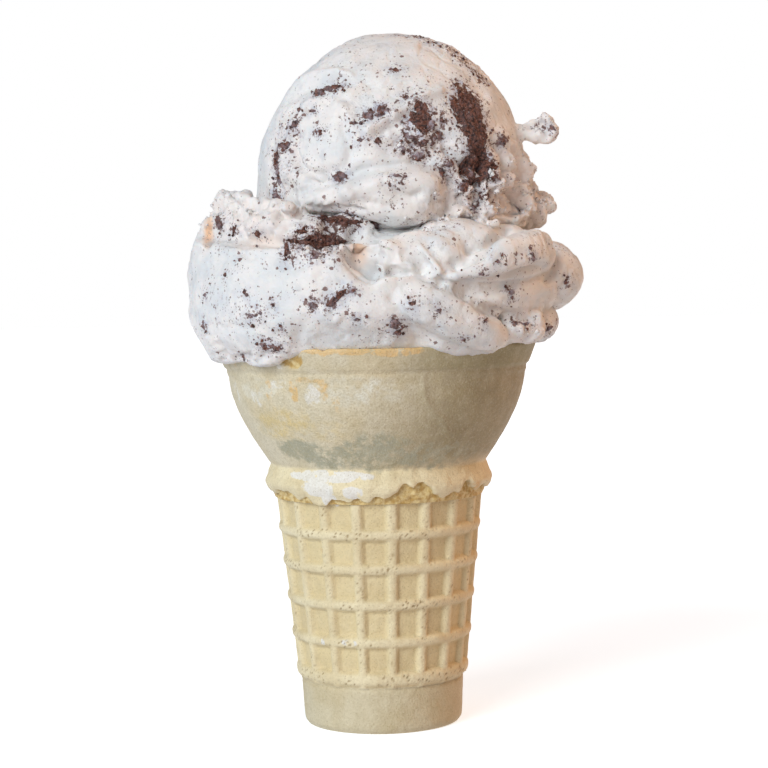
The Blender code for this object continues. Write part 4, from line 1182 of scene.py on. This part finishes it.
# the grey-lilac stain and the dust follow the cocoa mark, which also carries painted shade on the small low lobe
stain = patches(tree, place, 1.6, 0.35, 0.75)
stain = add(tree, "Math", {0: stain, 1: cocoa}, operation="MULTIPLY").outputs[0]
stain = add(tree, "Math", {0: stain, 1: 0.7}, operation="MULTIPLY").outputs[0]
colour = painted(tree, colour, linear("#a3a7bb"), stain)
smudge = patches(tree, place, 4.5, 0.60, 0.72)
smudge = add(tree, "Math", {0: smudge, 1: 0.30}, operation="MULTIPLY").outputs[0]
colour = painted(tree, colour, linear("#b2bac2"), smudge)
crowd = add(tree, "Math", {0: patches(tree, place, 9.0, 0.4, 0.65), 1: patches(tree, place, 2.2, 0.42, 0.66)},
            operation="MULTIPLY").outputs[0]
near = add(tree, "Math", {0: cocoa, 1: 0.75, 2: 0.02}, operation="MULTIPLY_ADD").outputs[0]
sparse = add(tree, "Math", {0: crowd, 1: 0.22, 2: near}, operation="MULTIPLY_ADD").outputs[0]
DUST = (  # grain in mm, colour, share of cells beside what lies near clusters, strength
    (0.24, "#9c9194", 1.0, 0.65), (0.36, "#8a716a", 0.5, 0.75), (0.66, "#714a40", 0.2, 0.85),
)
for size, dark, share, strength in DUST:
    part = add(tree, "Math", {0: sparse, 1: share}, operation="MULTIPLY").outputs[0]
    dust = grains(tree, place, size, part)
    dust = add(tree, "Math", {0: dust, 1: strength}, operation="MULTIPLY").outputs[0]
    colour = painted(tree, colour, linear(dark), dust)
ragged = add(tree, "TexNoise", {"Vector": place, "Scale": 1.0 / (0.9 * MM), "Detail": 5.0, "Roughness": 0.62})
ragged = add(tree, "Math", {0: cocoa, 1: 0.15, 2: ragged.outputs["Fac"]}, operation="MULTIPLY_ADD").outputs[0]
ragged = add(tree, "Math", {0: crowd, 1: 0.085, 2: ragged}, operation="MULTIPLY_ADD").outputs[0]
for low, dark, strength in ((0.655, "#8f7a78", 0.7), (0.69, "#5f423a", 0.9)):
    fleck = add(tree, "MapRange", {"Value": ragged, "From Min": low, "From Max": low + 0.03, "To Max": strength})
    colour = painted(tree, colour, linear(dark), fleck.outputs["Result"])
tree.links.new(colour, shader.inputs["Base Color"])
shader.inputs["Subsurface Weight"].default_value = 0.35
shader.inputs["Subsurface Radius"].default_value = (1.0, 0.75, 0.6)
shader.inputs["Subsurface Scale"].default_value = 1.6 * MM
tree.links.new(bumps(tree, place, ((1.1, 0.16), (0.42, 0.10))), shader.inputs["Normal"])

# %% [markdown]
# ## Chocolate cookie
#
# A dark cocoa biscuit, baked dry and then wet by the cream. Its grains scatter light from their own faces,
# so it is matte with a faint sheen, dark brown with a red cast, and paler where cream has smeared on it.

# %% Chocolate cookie
cookie, tree, shader, place = new_material("cocoa_biscuit", roughness=0.72, ior=1.45)
colour = painted(tree, linear("#29130d"), linear("#714434"), patches(tree, place, 0.6, 0.38, 0.62))
dry = add(tree, "Math", {0: patches(tree, place, 0.34, 0.50, 0.66), 1: 0.6}, operation="MULTIPLY").outputs[0]
colour = painted(tree, colour, linear("#996d5c"), dry)
film = add(tree, "Math", {0: patches(tree, place, 1.3, 0.35, 0.7), 1: mark(tree, "film")}, operation="MULTIPLY")
colour = painted(tree, colour, linear("#b3a9b2"), film.outputs[0])
tree.links.new(colour, shader.inputs["Base Color"])
tree.links.new(bumps(tree, place, ((0.5, 0.3), (0.25, 0.14))), shader.inputs["Normal"])

# %% [markdown]
# ## Baked wafer
#
# A thin batter of flour, water and a little sugar, baked between hot moulds: dry, matte and faintly
# sandy, with fine pores where steam left. It is pale straw where the mould was cooler, amber
# where it browned, and dusted white with flour. The torn collar shows a glassy amber crumb. Its
# index is that of starch, about 1.5.

# %% Baked wafer
wafer, tree, shader, place = new_material("baked_wafer", roughness=0.62, ior=1.5)
relief, crumb = mark(tree, "relief"), mark(tree, "crumb")
# painted shade: cell floors darker and more amber than the rib tops
colour = painted(tree, linear("#dcca9c"), linear("#e9dcb6"), relief)
colour = painted(tree, colour, linear("#d9cfb4"), mark(tree, "bowl"))
tan = add(tree, "Math", {0: patches(tree, place, 9.0, 0.42, 0.68), 1: 0.5}, operation="MULTIPLY").outputs[0]
colour = painted(tree, colour, linear("#cfbb8e"), tan)
# painted shade on the right of the bowl, and the foot's darker tone
colour = painted(tree, colour, linear("#918464"), mark(tree, "painted_shade_right_and_foot_tone"))
# painted shadow of the overhanging cream on the rim band, strongest on the right
painted_band_shadow = add(tree, "Math", {0: patches(tree, place, 5.0, 0.25, 0.7), 1: 0.4, 2: 0.6}, operation="MULTIPLY_ADD").outputs[0]
painted_band_shadow = add(tree, "Math", {0: painted_band_shadow, 1: mark(tree, "band")}, operation="MULTIPLY").outputs[0]
colour = painted(tree, colour, linear("#8a815c"), painted_band_shadow)
STAIN_COLOURS = (  # mark, colour, size of its ragged edge in mm, and how soft that is
    # the toast colour also paints the highlight along the rim's top edge
    ("straw", "#dac48c", 3.0, 1.0), ("frost", "#dcdacb", 3.4, 1.0), ("sage", "#a2a18b", 2.2, 0.8), ("bloom", "#e9e7df", 2.4, 0.2), ("toast_and_rim_highlight", "#dcb87c", 1.8, 0.4),
)
for name, tint, size, soft in STAIN_COLOURS:
    ragged = add(tree, "TexNoise", {"Vector": place, "Scale": 1.0 / (size * MM), "Detail": 8.0, "Roughness": 0.6})
    ragged = add(tree, "Math", {0: ragged.outputs["Fac"], 1: 3.8, 2: -1.1}, operation="MULTIPLY_ADD").outputs[0]
    edge = add(tree, "Math", {0: ragged, 1: mark(tree, name)}, operation="MULTIPLY").outputs[0]
    blotch = add(tree, "MapRange", {"Value": edge, "From Min": 0.45, "From Max": 0.45 + soft}).outputs["Result"]
    colour = painted(tree, colour, linear(tint), blotch)
leathery = add(tree, "Math", {0: mark(tree, "bowl"), 1: 0.3, 2: 0.3}, operation="MULTIPLY_ADD").outputs[0]
SPECKLES = (  # size in mm, where the patches start and are full, colour and strength
    (5.0, 0.34, 0.76, "#b3a67e", 0.4), (1.2, 0.42, 0.7, "#a5986f", 0.4), (0.4, 0.44, 0.62, "#a3956c", 0.46),
    (3.4, 0.42, 0.8, "#efe8cf", 0.3), (0.45, 0.5, 0.68, "#f3ecd2", 0.26),
)
for size, low, high, tint, strength in SPECKLES:
    speckle = add(tree, "Math", {0: patches(tree, place, size, low, high, 5.0), 1: leathery}, operation="MULTIPLY")
    speckle = add(tree, "Math", {0: speckle.outputs[0], 1: strength}, operation="MULTIPLY").outputs[0]
    colour = painted(tree, colour, linear(tint), speckle)
glassy = painted(tree, linear("#b8954f"), linear("#e0cb92"), patches(tree, place, 1.1, 0.35, 0.65))
colour = painted(tree, colour, glassy, crumb)
pores = grains(tree, place, 0.2, 0.22)
pores = add(tree, "Math", {0: pores, 1: 0.28}, operation="MULTIPLY").outputs[0]
colour = painted(tree, colour, linear("#8a7446"), pores)
colour = painted(tree, colour, linear("#93784a"), mark(tree, "pits"))
tree.links.new(colour, shader.inputs["Base Color"])
tree.links.new(bumps(tree, place, ((1.5, 0.2), (0.4, 0.14))), shader.inputs["Normal"])


# %% [markdown]
# ## The finished pieces
#
# Each piece stands for a solid of the frame and rides on its one body. The clusters of cookie that
# have no solid of their own are one joined piece, and so are the loose crumbs of each kind.

# %% The cream
NO_TRIANGLES = np.empty((0, 3), int)


def warmth(points):
    """Painted glow: where peach light shines out of the folds it is painted into the colour, at the notch, the slit and
    the hollows of the crest.
    """
    return nearness(points, ((-3.1, -35, 98.8, 1.9, 6, 4.0, 1.0), (-33.8, -16, 104.4, 1.1, 12, 4.0, 1.0),
                             (-24, -28, 101.2, 9, 8, 1.5, 0.25)))


DUST_AND_SHADE_SMEARS = (  # grey smears of cookie dust, and painted shade on the small lobe low on the right
    (-6.5, -36, 97.6, 6, 6, 2.0, 0.5), (-7, -38, 89.6, 6, 6, 1.6, 0.5), (-29, -26, 88, 5, 9, 4, 0.3),
    # the row at 33, -9, 83 is painted shade on the small lobe under the broad one, not dust
    (-18, -18, 119, 4, 9, 10, 0.35), (9.6, -27, 119.6, 5, 6, 2.4, 0.45), (33, -9, 83, 6, 9, 3, 0.9), (4, -37, 84, 4, 4, 3, 0.4),
    (-15.6, -20, 121, 1.6, 8, 5, 0.5), (40, -6, 97, 4, 8, 3, 0.35), (22, -22, 112, 7, 8, 7, 0.45), (15, -7, 138.5, 10, 4, 4.0, 0.8),
    (35.6, -5, 124, 3, 3, 3, 0.5), (13, -28, 103.5, 6, 6, 2, 0.35),
)
for name, node, cream_skin, nearby in (
    ("lower_cream", "lower_scoop", lower, lower_cocoa), ("upper_cream", "upper_scoop", upper, upper_cocoa),
):
    points, quads, _, rough = cream_skin
    dust_and_shade = np.maximum(nearby, nearness(points, DUST_AND_SHADE_SMEARS))
    marks = {"rough": rough, "cocoa": dust_and_shade, "warm": warmth(points)}
    make_piece(name, node, (points, quads, NO_TRIANGLES), cream, marks)


def same_everywhere(surface, **values):
    """Marks that are the same on every point."""
    return {name: np.full(len(surface[0]), value) for name, value in values.items()}


make_piece("cream_crumbs", None, cream_crumbs, cream,
           same_everywhere(cream_crumbs, rough=0.6, cocoa=0.1, warm=0.0))

# %% The cream inside the cup
def cup_filling():
    """A turned plug: its radius follows the cup's inside with 0.3 mm to spare, up to under the scoop."""
    heights = np.array([3.3, 3.6, 20.0, 40.0, 46.0, 50.0, 54.9, 60.0, 66.0, 71.0, 72.0])
    inside = np.where(heights < 46.5, barrel_radius(heights) - 2.8, bowl_radius(np.maximum(heights, 54.9)) - 1.9)
    inside = np.where((heights > 46.5) & (heights < 54.0), 19.4, inside)
    inside[[0, -1]] -= 1.0
    turn = np.radians(np.arange(0.0, 360.0, 5.0))
    rings = [np.stack([r * np.cos(turn), r * np.sin(turn), h + 0 * turn], axis=-1) for r, h in zip(inside, heights)]
    return closed_surface(np.array(rings))


filling = cup_filling()
make_piece("cream_in_cup", "lower_scoop", filling, cream, same_everywhere(filling, rough=0, cocoa=0, warm=0))

# %% The cookie
for name, surface in large_crumbs.items():
    make_piece(name, name, surface, cookie, same_everywhere(surface, film=0.12))
random = np.random.default_rng(95)
film = np.concatenate([np.full(len(surface[0]), random.uniform(0.0, 1.0)) for surface in small_clusters])
make_piece("cookie_clusters", None, joined(small_clusters), cookie, {"film": film})
make_piece("cookie_crumbs", None, cookie_crumbs, cookie, same_everywhere(cookie_crumbs, film=0.2))

# %% The wafer
surface, marks = wafer_surface()
make_piece("wafer", "wafer_cone", surface, wafer, marks)


# %% [markdown]
# ## Floor, light and camera
#
# A pale floor and a near-white surround keep the eye on the food. A broad cool light comes from the upper
# left, as from a window, and a warmer one from high on the right. Each is a sun, which lights the whole object
# evenly, with a wide angle so that its shadows are soft.

# %% Floor
floor_finish, tree, shader, place = new_material("pale_paper", roughness=0.9, ior=1.45)
shader.inputs["Base Color"].default_value = linear("#eef1f6")
shader.inputs["Emission Color"].default_value = linear("#f2fbff")
shader.inputs["Emission Strength"].default_value = 0.6
FLOOR_HALF = 3.0  # metres
corners = np.array([(-1, -1, 0), (1, -1, 0), (1, 1, 0), (-1, 1, 0)]) * FLOOR_HALF
floor_mesh = new_mesh("floor", corners, [(0, 1, 2, 3)])
floor_mesh.materials.append(floor_finish)
floor = bpy.data.objects.new("floor", floor_mesh)
bpy.context.scene.collection.objects.link(floor)
floor.visible_diffuse = False  # its bounce would light the undersides of the food


# %% Lights
def add_sun(name, bearing, height, strength, colour, width):
    """A sun that shines from a bearing (0 is the right, -90 the front) and a height above the
    floor, both in degrees. Its width is the angle that it fills in the sky."""
    light = bpy.data.lights.new(name, "SUN")
    light.energy, light.color, light.angle = strength, linear(colour)[:3], math.radians(width)
    sun = bpy.data.objects.new(name, light)
    sun.rotation_euler = (math.radians(90.0 - height), 0.0, math.radians(bearing + 90.0))
    bpy.context.scene.collection.objects.link(sun)


add_sun("window", -125.0, 26.0, 2.35, "#f6f9fc", 36.0)
add_sun("lamp", 20.0, 40.0, 0.95, "#ffc698", 40.0)
world = bpy.data.worlds.new("surround")
bpy.context.scene.world = world
world.use_nodes = True
tree = world.node_tree
light_path = add(tree, "LightPath")
seen = add(tree, "Background", {"Color": (1.0, 1.0, 1.0, 1.0), "Strength": 1.0})
way = add(tree, "SeparateXYZ", {0: add(tree, "TexCoord").outputs["Generated"]}).outputs
toward = add(tree, "MapRange", {"Value": way["X"], "From Min": -0.2, "From Max": 0.9}).outputs["Result"]
strength = add(tree, "Math", {0: way["Z"], 1: -0.28, 2: 0.50}, operation="MULTIPLY_ADD").outputs[0]  # less from above
glow = painted(tree, linear("#eef4ff"), linear("#ffcfa8"), toward)
glow = add(tree, "Background", {"Color": glow, "Strength": strength})
either = add(tree, "MixShader", {0: light_path.outputs["Is Camera Ray"], 1: glow.outputs[0], 2: seen.outputs[0]})
tree.links.new(either.outputs[0], tree.nodes["World Output"].inputs["Surface"])

# %% Camera
camera_data = bpy.data.cameras.new("camera")
camera_data.sensor_width, camera_data.lens = 36.0, 98.44
camera_data.shift_x = 0.0092
camera = bpy.data.objects.new("camera", camera_data)
stand = Matrix.Translation((0.0, -441.6 * MM, 96.3 * MM))
camera.matrix_world = stand @ Matrix.Rotation(math.radians(86.73), 4, "X") @ Matrix.Rotation(math.radians(-1.15), 4, "Z")
bpy.context.scene.collection.objects.link(camera)
bpy.context.scene.camera = camera
bpy.context.scene.view_settings.view_transform = "Standard"
